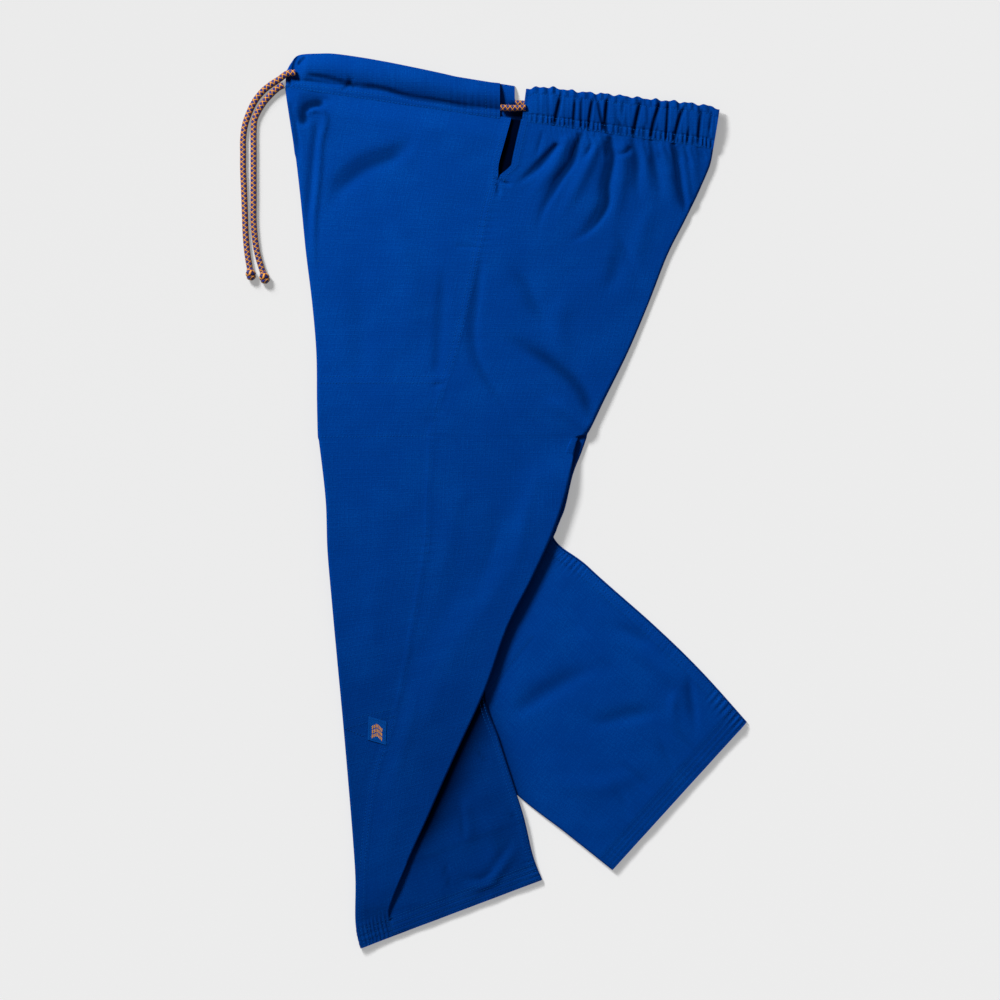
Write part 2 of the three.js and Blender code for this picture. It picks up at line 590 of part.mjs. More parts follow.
function casings() {
  const farFront = (u, w, x, rim) => CASING * mix(0.6, 1, rim) + FAR_CORD_RIDGE * cordRidge(w, x);
  const nearUnder = (u, w, x) => CASING + LAYER_REST + FAR_CORD_RIDGE * cordRidge(w, x);
  const nearFront = (u, w, x, rim) =>
    nearUnder(u, w, x) + CASING * mix(0.5, 1, rim) + CORD_RIDGE * cordRidge(w, x);
  casing("far_front_waistband", FAR_FRONT_WAIST, 14, 9, () => 0, farFront);
  casing("near_front_waistband", NEAR_FRONT_WAIST, 20, 9, nearUnder, nearFront);
  const full = (u) => ease(u / 0.07) ** 0.5;
  const farRear = (u, w, x, rim) => FAR_REAR_CASING * mix(0.5, 1, rim) * mix(0.85, 1, gather(u));
  const rearUnder = () => FAR_REAR_CASING + LAYER_REST;
  const nearRear = (u, w, x, rim) =>
    rearUnder() + REAR_CASING * mix(0.4, 1, rim) * mix(0.7, 1, full(u))
    + GATHER_DEPTH * full(u) * (gather(u) - 0.6) * mix(0.5, 1, rim);
  casing("far_back_waistband", FAR_BACK_WAIST, 36, 3, () => 0, farRear);
  casing("near_back_waistband", NEAR_BACK_WAIST, 80, 4, rearUnder, nearRear);
}

// A round cord along a route, as an eight-sided tube.
function cord(name, route, steps) {
  const section = new THREE.Shape();
  for (let k = 0; k < 8; k++) {
    const a = (Math.PI * (k + 0.5)) / 4;
    const [x, y] = [Math.cos(a) * CORD_DIAMETER / 2, Math.sin(a) * CORD_DIAMETER / 2];
    if (k) section.lineTo(x, y);
    else section.moveTo(x, y);
  }
  const path = new THREE.CatmullRomCurve3(route.map((p) => new THREE.Vector3(...p)));
  const shape = new THREE.ExtrudeGeometry(section, { steps, extrudePath: path, bevelEnabled: false });
  const mesh = new THREE.Mesh(shape, CORD);
  mesh.name = name;
  garment.add(mesh);
  return path;
}

// The knot that closes a drawstring end, a barrel in line with it.
function knot(name, path) {
  const end = path.getPoint(1);
  const tangent = path.getTangent(1);
  const profile = [new THREE.Vector2(0, 0)];
  for (let k = 0; k <= 4; k++) {
    const radius = mix(0.72, 1, Math.sin((Math.PI * k) / 4)) * KNOT_DIAMETER / 2;
    profile.push(new THREE.Vector2(radius, KNOT_LENGTH * mix(0.08, 0.92, k / 4)));
  }
  profile.push(new THREE.Vector2(0, KNOT_LENGTH));
  const mesh = new THREE.Mesh(new THREE.LatheGeometry(profile, 10), CORD);
  mesh.name = name;
  mesh.position.copy(end).addScaledVector(tangent, SEAM_GAP + 0.1);
  mesh.position.z = KNOT_DIAMETER / 2 + 0.05;
  tangent.z = 0;
  mesh.quaternion.setFromUnitVectors(new THREE.Vector3(0, 1, 0), tangent.normalize());
  garment.add(mesh);
}

function drawstring() {
  knot("drawstring_knot_a", cord("drawstring_end_a", CORD_A, 24));
  knot("drawstring_knot_b", cord("drawstring_end_b", CORD_B, 22));
  cord("drawstring_at_near_slit", NEAR_CROSSING, 4);
  cord("drawstring_at_far_slit", FAR_CROSSING, 3);
}

// The gusset's folded edge behind the near thigh.
function gusset() {
  const [flat, bend, under] = [2, 4, 1];
  const middle = (i, j) => {
    const row = station(GUSSET, i / 2);
    const turn = (GUSSET_LEVEL - FLOOR_LAYER) / 2;
    const start = row.x - turn - HALF;
    if (j <= flat) return new THREE.Vector3(mix(row.inner, start, j / flat), row.y, GUSSET_LEVEL);
    const a = (Math.PI * Math.min(j - flat, bend)) / bend;
    const back = j > flat + bend ? GUSSET_TAB : 0;
    const x = start + turn * Math.sin(a) - back;
    return new THREE.Vector3(x, row.y, GUSSET_LEVEL - turn * (1 - Math.cos(a)));
  };
  wall("crotch_gusset", (GUSSET.length - 1) * 2, flat + bend + under, middle, CLOTH, 0, BLUE);
}

// A small plain woven label over the lower edge of the knee patch.
function label() {
  const above = HALF + SEAM_GAP + PATCH_CLOTH + SEAM_GAP + LABEL.cloth / 2 + 0.1;
  const cells = 3;
  const middle = (i, j) => {
    const x = LABEL.corner[0] + (LABEL.across[0] * j + LABEL.down[0] * i) / cells;
    const y = LABEL.corner[1] + (LABEL.across[1] * j + LABEL.down[1] * i) / cells;
    return new THREE.Vector3(x, y, outerHeight(x, y) + above);
  };
  wall("shin_label", cells, cells, middle, LABEL.cloth, 0, LABEL_BLUE);
}

nearFront();
nearBack();
farFront();
farBack();
casings();
gusset();
label();
drawstring();

export default garment;
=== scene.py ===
"""Looks of a pair of martial-arts trousers laid flat on their side: cloth, seams, stitches, cord and label.

Shapes are worked out in millimetres, X to the right of the laid garment, Y towards the waist and Z up from
the surface, and are turned into metres as each mesh is made.
"""
import math
from types import SimpleNamespace

import bpy
import numpy as np
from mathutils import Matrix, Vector


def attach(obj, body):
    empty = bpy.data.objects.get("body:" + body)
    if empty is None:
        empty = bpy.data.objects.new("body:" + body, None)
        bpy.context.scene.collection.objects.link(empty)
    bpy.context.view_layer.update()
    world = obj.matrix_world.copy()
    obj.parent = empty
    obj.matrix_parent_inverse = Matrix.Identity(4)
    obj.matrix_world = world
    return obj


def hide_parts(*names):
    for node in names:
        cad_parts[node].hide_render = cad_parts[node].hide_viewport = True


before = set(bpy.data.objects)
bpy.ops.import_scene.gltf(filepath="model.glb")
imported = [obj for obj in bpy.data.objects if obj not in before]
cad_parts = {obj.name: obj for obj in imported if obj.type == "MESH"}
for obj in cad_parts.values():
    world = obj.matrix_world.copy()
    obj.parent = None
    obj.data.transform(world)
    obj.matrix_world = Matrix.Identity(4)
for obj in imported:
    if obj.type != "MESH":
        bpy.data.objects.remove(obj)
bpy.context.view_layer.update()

MM = 0.001

# The photograph's frame: its width on the surface, the place at its middle, and a long lens straight above.
VIEW_WIDTH = 1.15
VIEW_CENTRE = (-0.01794, 0.00115)
LENS = 100
SENSOR = 36

# Cloth and how its layers lie.
CLOTH = 1.3
HALF = CLOTH / 2

# Panels overlap by this much along their seams, so the gap is below nought.
SEAM_GAP = -0.6
PATCH_CLOTH = 0.5
FLOOR_LAYER = HALF
SECOND_LAYER = 2.75
PLEAT_TURN = (SECOND_LAYER - FLOOR_LAYER) / 2
FAR_LEG_STACK = 5.1
HIP_LEVEL = 5.2
LEG_LEVEL = 3.3
PLEAT_LIFT = 4.6
EDGE_LOFT = 2.2
WAIST_LIFT = 3.3
FAR_WAIST_LIFT = 2.4
WAIST_FADE = 45
FAR_LAYER = 2.6
HEM_WIDTH = 23
GUSSET_LEVEL = 4.2
LAYER_REST = 0.4
EDGE_START = 4.0
FAR_EDGE_LOFT = 0.4
SEAM_ROOM = 0.6

# Edges are found in this many rounds, because their places and heights depend on each other.
SETTLE = 4

# How panels run up to their casings: the rise below them, the lap under them, and their heights there,
# in front and behind.
WAIST_RISE = 26
WAIST_LAP = 2.2
NEAR_FOOT = (4.3, 7.2)
FAR_FOOT = (1.1, 2.7)

# The near side falls from hip height to leg height below this Y, and its layers meet near the hem.
LEG_FALL_Y = 200
LEG_FALL = 110
CLOSED_Y = -462
CLOSED_FALL = 34

# The far leg lifts the near one, from this far outside its front edge, over a ramp and below the crotch.
LIFT_REACH = 72
LIFT_RAMP = 62
LIFT_TOP_Y = 205
LIFT_FALL = 110

# The tucked pleat swells the back edge: its reach in front of the edge, its ramp, and its ends by Y.
PLEAT_REACH = 58
PLEAT_RAMP = 52
PLEAT_TOP_Y = 70
PLEAT_TOP_FALL = 50
PLEAT_END_Y = -505
PLEAT_END_RISE = 70

# How far edges stay lofted, in front and behind.
FRONT_FADE = 14
BACK_FADE = 22

# How far the far side curls up round the front edge and seat at the hip, in degrees.
HIP_CURL = 144

# Stands for the distance to a seam where a column isn't beside it.
NOT_BESIDE = 99.0

# Waist casings and their cord.
CASING = 2.4
CORD_DIAMETER = 7.2
CORD_RIDGE = 4.4
FAR_CORD_RIDGE = 3.6
REAR_CASING = 4.2
FAR_REAR_CASING = 5.4
KNOT_DIAMETER = 11.4
KNOT_LENGTH = 13
KNOT_OVERLAP = 1.5
KNOT_PROFILE = [
    (0, 0.60), (0.08, 0.62), (0.22, 0.80), (0.42, 0.99), (0.55, 1.0), (0.75, 0.93), (0.9, 0.70), (1.0, 0.20),
]
CORD_STEP = 0.9
CORD_SIDES = 24
BRAID_PITCH = 5.6
BRAID_STARTS = 3

# Sewing.
STITCH = 2.6
STITCH_GAP = 0.9
THREAD = 0.8
HEM_ROWS = (2.0, 7.5, 13.0, 18.0, 21.5)

# How far rows of stitches are from their seam or edge, and on casings at what share of the depth.
SIDE_ROWS = (2.2, 8.0)
FRONT_SLIT_ROWS = (2.0, 6.0)
BACK_SLIT_ROWS = (2.0, 7.5)
FAR_INSIDE_ROWS = (2.0, 7.0, 12.0)
NEAR_INSIDE_ROWS = (1.2, 5.6)
FRONT_CASING_ROWS = (0.86, 0.975)
REAR_CASING_ROWS = (0.2, 0.80, 0.965)

# Short tacks, at the foot of the slit and at the front edge of the knee patch.
SLIT_TACK = ((-23, 373.5), (-11, 368))
SLIT_TACK_STEPS = (0, 0.8, 1.6, 2.4)
PATCH_TACK = ((-197, -261), (-174, -270))
TACK_STEP = 2.0

# What is raised by the extra cloth at hems, seams, slit and inside seams, and by puckers beside stitches.
HEM_RAISE = 0.4
HEM_GROOVE = 0.28
HEM_PUCKER = 0.75
SEAM_RAISE = 0.26
SEAM_PUCKER = 0.24
SLIT_RAISE = 0.45
WAIST_PUCKER = 0.30
REAR_PUCKER = 0.9
NEAR_STRIP_RAISE = 0.5
NEAR_STRIP_PUCKER = 0.26
FAR_STRIP_RAISE = 0.60
FAR_STRIP_PUCKER = 0.65
GUSSET_PUCKER = 0.12

# Drawstring ends: the route of each from the front of the waist to its knot.
CORD_A = [
    (-252.5, 491, 9.2), (-262, 490, 9), (-271, 484, 7.4), (-281, 478, 5.2), (-290, 471, 3.9),
    (-299, 460, 3.7), (-306, 446, 3.7), (-311, 431, 3.7), (-313, 415, 3.7), (-313, 398, 3.7),
    (-313, 381, 3.7), (-312, 358, 3.7), (-311, 331, 3.7), (-310, 305, 3.7), (-308, 284, 3.7),
    (-305, 266, 3.8),
]
CORD_B = [
    (-266.5, 477.3, 5.6), (-273, 474, 5.2), (-281, 467, 4.0), (-289, 458, 3.7), (-296, 447, 3.7),
    (-300, 437, 3.7), (-301, 423, 3.7), (-301, 401, 3.7), (-301, 375, 3.7), (-301, 348, 3.7),
    (-301, 322, 3.7), (-299, 299, 3.7), (-296, 282, 3.7), (-290, 262, 3.8),
]
NEAR_CROSSING = [(-17.5, 451, 10), (-4, 450.4, 9.8), (11.5, 451, 10)]
FAR_CROSSING = [(-0.4, 457, 4.2), (6, 456.6, 4.1), (11.4, 456.2, 4.2)]


def mix(a, b, t):
    """From a to b, as t goes from 0 to 1."""
    return a + (b - a) * t


def ease(t):
    """From 0 to 1 with a soft start and end."""
    t = np.clip(t, 0, 1)
    return t * t * (3 - 2 * t)


def catmull(before, here, there, after, t):
    """A smooth step from here to there, led by the points on either side."""
    return here + 0.5 * (
        (there - before) * t
        + (2 * before - 5 * here + 4 * there - after) * t**2
        + (3 * here - before - 3 * there + after) * t**3
    )


class Table:
    """Rows with named columns, read at any place between them."""

    def __init__(self, columns, rows, straight=""):
        self.columns = columns.split()
        self.rows = np.array(rows, float)
        self.straight = np.array([c in straight.split() for c in self.columns])

    def at(self, v):
        v = np.asarray(v, float)
        last = len(self.rows) - 1
        i = np.clip(np.floor(v).astype(int), 0, last - 1)
        t = (v - i)[..., None]
        here, there = self.rows[i], self.rows[i + 1]
        before, after = self.rows[np.maximum(i - 1, 0)], self.rows[np.minimum(i + 2, last)]
        values = np.where(self.straight, mix(here, there, t), catmull(before, here, there, after, t))
        row = SimpleNamespace(**{c: values[..., k] for k, c in enumerate(self.columns)})
        row.v = v
        return row

    @property
    def last(self):
        return len(self.rows) - 1


# Near side, a row for each station from waist to hem. A row starts on the front edge at x, y and runs
# back at its tilt in degrees. Along it: the side seam, the width of the side slit, the back edge of the
# outer layer, the inside leg seam, the depth of the tucked pleat and how far the pleat's cloth turns.
NEAR = Table("x y tilt seam slit back inseam depth turn", [
    (-265, 475, -8.2, 262, 12, 497, 480, 4, 180),
    (-261, 447, -7.3, 251, 13, 488, 472, 4, 180),
    (-256, 415, -6.6, 238, 15, 472, 458, 4, 180),
    (-254, 400, -6.1, 235, 3, 465, 450, 4, 180),
    (-252, 390, -5.9, 232, 0, 459, 445, 4, 180),
    (-247, 346, -3.4, 217, 0, 441, 428, 4, 180),
    (-241, 286, -0.6, 200, 0, 415, 402, 4, 180),
    (-234, 229, -0.2, 181, 0, 387, 374, 4, 180),
    (-229, 171, 0.0, 162, 0, 358, 345, 4, 180),
    (-228, 114, 0.4, 143, 0, 330, 317, 4, 180),
    (-227, 74, 0.6, 133, 0, 309.5, 298, 5, 180),
    (-225.5, 67, 0.8, 131.5, 0, 296.5, 288, 6, 180),
    (-218, 1, 2.4, 121, 0, 277, 270, 14, 180),
    (-216, -56, 4.0, 117, 0, 258.5, 251, 25, 180),
    (-211, -116, 6.3, 103, 0, 230, 224, 39, 180),
    (-205, -183, 11.0, 87, 0, 199, 193, 55, 180),
    (-198, -258, 14.3, 65, 0, 168, 168, 60, 180),
    (-192, -327, 16.8, 35, 0, 129, 181, 48, 180),
    (-187, -388, 19.3, 20, 0, 94, 195, 34, 180),
    (-184, -436, 20.9, 13, 0, 65, 207, 16, 180),
    (-184, -484, 20.6, 12, 0, 42, 218, 3, 60),
    (-178, -514, 20.7, 12, 0, 38, 223, 3, 18),
], straight="slit depth turn")
SLIT_ROW = 4
NEAR_LEG_TOP = 9
NEAR_PLEAT_TOP = 11
HEM_ROW = 20

# Far side, read the same way. Its leg swings back from under the near one.
FAR = Table("x y tilt seam slit back", [
    (-264, 474, -8.2, 275, 3, 495),
    (-255, 413, -6.6, 252, 5, 470),
    (-251, 389, -5.9, 244, 0, 457),
    (-240, 286, -0.6, 205, 0, 413),
    (-228, 171, 0.0, 170, 0, 356),
    (-227, 120, 0.4, 155, 0, 331),
    (-221, 84, 0.6, 143, 0, 300),
    (-216, 58, 2.0, 138, 0, 275),
    (-188, -68, 17.5, 120, 0, 237),
    (-139, -183, 37.7, 112, 0, 231),
    (-70, -269, 51.1, 112, 0, 247),
    (3, -339, 51.9, 112, 0, 251),
    (57, -381, 50.6, 110, 0, 243),
    (111, -424, 47.7, 108, 0, 230),
], straight="slit")
FAR_LEG_TOP = 7
FAR_EDGE_TOP = 5

# Places in these tables: the ends of the knee patches, a row across the near one, and where the inside
# seams come into view.
NEAR_PATCH_ROWS = (8.43, 16.05)
NEAR_PATCH_MIDDLE = 10.0
FAR_PATCH_ROWS = (8.5, 10.0)
NEAR_INSIDE_TOP = 15.9
FAR_INSIDE_TOP = 8.3

# Where the near leg ends over the far one, from crotch to hem.
NEAR_RIM = [(44, -38), (-35, -217), (-11, -293), (3, -339), (30, -435)]

# Upper and lower edges of the waist casings.
NEAR_FRONT_WAIST = Table("x top low", [
    (-264, 492, 475.6), (-258, 503, 474.8), (-249, 512, 473.4), (-225, 514, 469.8), (-201, 513, 466.2),
    (-151, 505, 458.8), (-92, 493, 450.2), (-52, 484, 444.4), (-18, 480, 439.4),
])
FAR_FRONT_WAIST = Table("x top low", [
    (-262, 488, 475.6), (-248, 509, 473.4), (-201, 512, 466.4), (-92, 492, 450.4), (-1, 477, 437.2),
])
NEAR_BACK_WAIST = Table("x top low", [
    (12, 473, 435.6), (36, 475, 432), (71, 470, 427), (105, 467, 422), (157, 461, 414.6),
    (189, 458, 410), (224, 453, 405), (234, 449, 403.6),
])
FAR_BACK_WAIST = Table("x top low", [
    (12.4, 470, 435.7), (71, 467, 427.2), (157, 458, 414.8), (230, 448, 404.4),
])

# Folds and creases: route, height at its middle, width to the left and right of the route, and the shares
# of its length over which it fades in and out. Troughs are below nought.
NEAR_CREASES = [
    ([(50, 412), (43, 404), (22, 381), (-3, 360)], -3.6, 7, 6, 0.06, 0.6),
    ([(76, 425), (72, 412), (65, 389), (49, 366), (30, 329), (25, 297)], -3.7, 6, 8, 0.04, 0.7),
    ([(90, 412), (86, 404), (74, 389)], -1.7, 5, 5, 0.1, 0.7),
    ([(108, 422), (109, 407), (111, 392), (105, 363), (103, 338), (82, 309), (55, 294)],
     -4.4, 7, 11, 0.04, 0.5),
    ([(133, 408), (126, 399), (113, 397)], -2.0, 5, 5, 0.1, 0.5),
    ([(134, 418), (135, 409), (140, 389), (140, 361), (145, 335)], -2.6, 6, 8, 0.05, 0.7),
    ([(154, 418), (155, 412), (160, 386), (165, 361), (168, 335)], -2.3, 6, 7, 0.05, 0.7),
    ([(163, 402), (170, 388), (180, 373)], -1.3, 6, 6, 0.2, 0.5),
    ([(181, 416), (182, 409), (187, 384), (191, 354), (198, 322)], -3.8, 4, 7, 0.05, 0.3),
    ([(189, 400), (195, 380), (199, 350), (204, 325)], 1.6, 4, 6, 0.2, 0.3),
    ([(209, 410), (210, 404), (220, 383)], -1.6, 6, 6, 0.1, 0.6),
    ([(60, 424), (58, 413), (42, 380), (8, 340)], 2.2, 10, 10, 0.1, 0.7),
    ([(93, 420), (92, 409), (78, 375), (45, 315)], 2.6, 11, 11, 0.1, 0.7),
    ([(122, 418), (123, 407), (122, 370), (108, 300)], 2.6, 12, 12, 0.1, 0.7),
    ([(147, 415), (150, 380), (157, 335)], 1.6, 7, 7, 0.1, 0.7),
    ([(169, 414), (170, 400), (176, 370), (183, 320)], 2.0, 9, 9, 0.1, 0.7),
    ([(197, 410), (203, 395), (206, 360), (204, 330)], 1.6, 8, 8, 0.1, 0.7),
    ([(118, 299), (112, 259), (99, 236)], -1.5, 14, 12, 0.4, 0.5),
    ([(112, 315), (132, 275), (148, 236)], -1.2, 9, 12, 0.3, 0.5),
    ([(-16, 283), (9, 251), (23, 220), (48, 191)], -1.5, 12, 16, 0.4, 0.4),
    ([(-28, 190), (9, 179), (48, 155), (76, 123), (84, 84)], -2.6, 13, 15, 0.4, 0.2),
    ([(30, 118), (52, 108), (90, 76)], 1.9, 12, 12, 0.4, 0.1),
    ([(-36, 300), (-43, 251), (-50, 191), (-42, 152), (-12, 103), (2, 71)], -1.7, 9, 10, 0.3, 0.4),
    ([(-111, 422), (-140, 400), (-175, 386), (-203, 362), (-216, 323)], -2.7, 17, 15, 0.3, 0.4),
    ([(-220, 457), (-237, 455), (-243, 447), (-245, 427)], -6.5, 8, 8, 0.12, 0.3),
    ([(-205, 458), (-225, 464), (-243, 464), (-251, 450)], -1.8, 7, 7, 0.3, 0.3),
    ([(-239, 436), (-238, 445), (-228, 449), (-220, 444), (-219, 432), (-224, 410), (-227, 370),
      (-231, 331), (-232, 291), (-229, 243)],
     2.8, 4.5, 4, 0.04, 0.5),
    ([(-229, 441), (-230, 425), (-233, 400), (-237, 360), (-240, 320), (-238, 270)], -2.2, 6, 5, 0.1, 0.5),
    ([(-258.5, 462), (-257, 447), (-253.5, 426), (-251, 404), (-250, 380)], -3.6, 3, 3.2, 0.1, 0.4),
    ([(-24, 372), (-14, 366), (-3, 363)], -1.7, 2.8, 2.8, 0.2, 0.3),
    ([(-21, 367), (-20, 356), (-20, 347)], -1.5, 2.8, 2.8, 0.2, 0.4),
    ([(72, 416), (66, 398), (60, 384)], -2.0, 2.8, 3, 0.1, 0.5),
    ([(88, 416), (84, 400), (80, 388)], -1.5, 2.6, 3, 0.1, 0.5),
    ([(105, 414), (105, 400), (104, 390)], -2.0, 2.8, 3, 0.1, 0.5),
    ([(147, 417), (149, 405), (151, 393)], -1.9, 2.8, 3, 0.1, 0.5),
    ([(184, 408), (188, 396), (192, 386)], -1.5, 2.8, 3, 0.1, 0.5),
    ([(192, 408), (197, 395), (203, 381)], -1.7, 2.8, 3, 0.1, 0.5),
    ([(32, 426), (27, 407), (22, 390)], -1.2, 3, 3.5, 0.1, 0.5),
    ([(-83, 275), (-88, 199), (-92, 140)], -1.2, 12, 9, 0.3, 0.15),
    ([(-98, 132), (-88, 134), (-78, 137)], -0.9, 4, 5, 0.3, 0.4),
    ([(-72, 293), (-57, 292), (-42, 292)], -0.5, 3, 3, 0.2, 0.2),
    ([(-86, 116), (-100, 92), (-109, 70)], -1.1, 10, 10, 0.3, 0.5),
    ([(-150, 330), (-120, 250), (-130, 160)], 1.1, 24, 24, 0.4, 0.5),
    ([(-190, 300), (-180, 210), (-186, 90)], -0.8, 20, 18, 0.4, 0.5),
    ([(-60, 30), (-80, -60), (-96, -140)], 0.9, 18, 18, 0.4, 0.5),
    ([(-20, 20), (-34, -70), (-60, -150)], -0.9, 18, 15, 0.4, 0.5),
    ([(-160, -60), (-165, -150), (-168, -240)], 0.8, 18, 20, 0.4, 0.5),
    ([(-110, -200), (-128, -280), (-150, -350)], 0.9, 12, 14, 0.4, 0.5),
    ([(30, 40), (10, -20), (-2, -90)], 1.0, 12, 14, 0.4, 0.5),
    ([(160, 350), (140, 290), (130, 230)], 1.2, 16, 14, 0.3, 0.5),
    ([(60, 250), (50, 200), (60, 150)], 1.1, 18, 18, 0.4, 0.5),
]
FAR_CREASES = [
    ([(102, -189), (52, -208), (-11, -250)], -1.7, 15, 17, 0.4, 0.3),
    ([(175, -240), (128, -246), (76, -261)], -1.4, 12, 15, 0.4, 0.4),
    ([(111, -139), (140, -155), (164, -168)], -1.0, 9, 10, 0.4, 0.4),
    ([(198, -196), (202, -230), (209, -276)], -1.6, 7, 10, 0.3, 0.5),
    ([(176, -254), (198, -278), (220, -301)], -0.9, 6, 9, 0.4, 0.4),
    ([(162, -264), (172, -290), (188, -324)], -0.8, 6, 9, 0.4, 0.4),
    ([(110, -295), (138, -315), (166, -339)], -0.9, 7, 10, 0.4, 0.4),
    ([(108, -310), (120, -335), (134, -368)], -0.8, 6, 9, 0.4, 0.4),
    ([(111, -150), (164, -190), (205, -232)], 1.2, 12, 12, 0.4, 0.4),
    ([(30, -310), (90, -330), (160, -300)], 1.0, 18, 18, 0.4, 0.4),
    ([(70, -140), (90, -170), (120, -190)], 0.8, 12, 12, 0.4, 0.4),
    ([(189, -262), (180, -240), (186, -214)], 1.1, 8, 8, 0.4, 0.4),
]
TUCK_CREASES = [
    ([(-67, -336), (-64, -366), (-59, -399)], -0.5, 4, 5, 0.3, 0.4),
    ([(-58, -336), (-55, -366), (-50, -399)], 0.7, 6, 6, 0.3, 0.4),
    ([(-84, -408), (-80, -430), (-74, -453)], -0.5, 4, 5, 0.3, 0.4),
    ([(-67, -431), (-33, -429), (0, -377)], -0.5, 5, 5, 0.3, 0.4),
    ([(-60, -441), (-30, -440), (4, -390)], 0.8, 7, 7, 0.3, 0.4),
    ([(-46, -282), (-38, -294), (-28, -303)], -0.5, 3, 4, 0.3, 0.4),
    ([(-8, -356), (-1, -362), (6, -368)], -0.5, 3, 4, 0.3, 0.4),
    ([(-40, -340), (-26, -390), (-22, -440)], 0.7, 12, 12, 0.4, 0.4),
]
FRONT_BAND_CREASES = [
    ([(-243, 489), (-215, 485), (-189, 478), (-170, 477)], -2.0, 4, 5, 0.2, 0.3),
    ([(-181, 477), (-151, 473), (-119, 463), (-80, 457), (-20, 445)], -2.2, 4, 5, 0.1, 0.3),
    ([(-200, 470), (-192, 478), (-184, 487)], -1.6, 3, 3, 0.3, 0.4),
    ([(-250, 511), (-254, 503), (-255, 494), (-254, 486)], -2.2, 2.4, 3, 0.1, 0.2),
    ([(-240, 510), (-247, 504), (-250, 498)], -2.4, 2.5, 3, 0.2, 0.3),
    ([(-262, 490), (-259, 481), (-257, 476)], -1.6, 2.2, 2.5, 0.2, 0.2),
    ([(-191, 489), (-189, 480), (-183, 471)], -1.2, 2, 2.5, 0.2, 0.3),
    ([(-257, 486), (-250, 484), (-246, 480)], -1.8, 3, 4, 0.2, 0.4),
    ([(-150, 500), (-146, 486), (-141, 474)], -0.5, 5, 6, 0.3, 0.3),
    ([(-103, 490), (-99, 477), (-96, 466)], -0.4, 5, 6, 0.3, 0.3),
    ([(-47, 480), (-30, 475), (-19, 473)], -0.7, 2.5, 2.5, 0.3, 0.3),
]
REAR_BAND_CREASES = [
    ([(54, 471), (51, 461), (42, 427), (26, 400)], -2.6, 4, 3.2, 0.2, 0.1),
    ([(69, 465), (68, 453), (66, 430), (64, 405)], -1.9, 3, 3, 0.2, 0.1),
    ([(78, 468), (76, 458), (75, 430), (73, 410)], -1.5, 2.6, 2.6, 0.2, 0.1),
    ([(92, 466), (89, 461), (85, 440), (81, 410)], -2.2, 3, 3, 0.2, 0.1),
    ([(94, 463), (97, 445), (101, 430), (102, 418)], -1.8, 3, 3, 0.2, 0.3),
    ([(107, 466), (105, 458), (103, 435), (106, 410)], -2.8, 3.4, 3, 0.2, 0.1),
    ([(125, 464), (123, 450), (122, 436)], -1.0, 3, 3, 0.2, 0.5),
    ([(147, 463), (144, 458), (139, 440), (133, 410)], -2.7, 3.4, 3, 0.2, 0.1),
    ([(168, 461), (165, 455), (159, 436), (153, 408)], -2.6, 3.4, 3, 0.2, 0.1),
    ([(176, 460), (175, 452), (174, 436), (172, 410)], -1.7, 2.8, 2.8, 0.2, 0.2),
    ([(196, 456), (191, 447), (186, 432), (180, 405)], -2.3, 3.2, 3, 0.2, 0.1),
    ([(217, 453), (214, 448), (211, 430), (208, 403)], -1.7, 3, 3, 0.2, 0.2),
    ([(226, 450), (224, 436), (222, 420)], -1.0, 2.6, 2.6, 0.2, 0.3),
    ([(116, 440), (121, 428), (118, 412)], -1.4, 3, 3, 0.3, 0.1),
    ([(150, 436), (147, 424), (146, 408)], -1.3, 3, 3, 0.4, 0.1),
    ([(60, 440), (57, 424), (50, 410)], -1.2, 3, 3, 0.4, 0.1),
    ([(200, 432), (198, 420), (195, 404)], -1.2, 3, 3, 0.4, 0.1),
]

# The small plain label on the shin and the gusset that shows behind the near thigh.
LABEL_CORNER = (-169, -247)
LABEL_ACROSS = (21, -6)
LABEL_DOWN = (-1, -27)
LABEL_CELLS = 14
LABEL_INSET = 1.1
GUSSET = Table("x y inner", [
    (82.8, 79, 62), (81.6, 73, 58), (79.3, 66, 55), (74.6, 53, 50), (66, 31, 42), (57, -7, 34),
    (50.5, -24, 31), (45.5, -37, 29), (42, -45, 27),
])

# Painted shade: how much darker cloth is at most inside its folds, and how deep a fold has to be for that.
NEAR_SHADE = (0.72, 2.7)
FAR_SHADE = (0.38, 1.8)
TUCK_SHADE = (0.5, 0.6)
FRONT_BAND_SHADE = (0.6, 2.1)
REAR_BAND_SHADE = (0.78, 1.5)
# Painted shadow beside the pleat's fold, painted shade deep in the side slit, and painted light that makes
# the far leg lighter.
POCKET_SHADE = 0.92
SLIT_SHADE = 0.96
FAR_PAINTED_LIGHT = 1.32

# Colours, in linear light.
BLUE = (0.0003, 0.0262, 0.168, 1)
BLUE_WORN = (0.0006, 0.048, 0.242, 1)
THREAD_BLUE = (0.0015, 0.058, 0.270, 1)
ORANGE = (0.58, 0.24, 0.03, 1)
ORANGE_SHADED = (0.28, 0.085, 0.012, 1)
NAVY = (0.004, 0.008, 0.14, 1)
NAVY_SHADED = (0.004, 0.004, 0.03, 1)
LABEL_BLUE = (0.001, 0.045, 0.24, 1)
LABEL_WORN = (0.004, 0.08, 0.32, 1)
MOTIF_ORANGE = (0.80, 0.36, 0.02, 1)

# Light: a soft lamp at the upper left, a weak sun from the same side and an even fill. The floor's shade
# makes up for the lamp's fall-off, so that the floor looks the same grey everywhere.
LAMP = (-0.90, 1.15, 1.0)
LAMP_RADIUS = 0.20
LAMP_SHARE = 4.1
SUN_SHARE = 0.25
SUN_WIDTH = 18
WORLD_SHARE = 0.20
FLOOR_GLOW = 0.35
LAMP_POWER = 4 * math.pi**2
FLOOR_SHOWN = 0.843
FLOOR_HALF_WIDTH = 3.0
FLOOR_BELOW = 0.0002


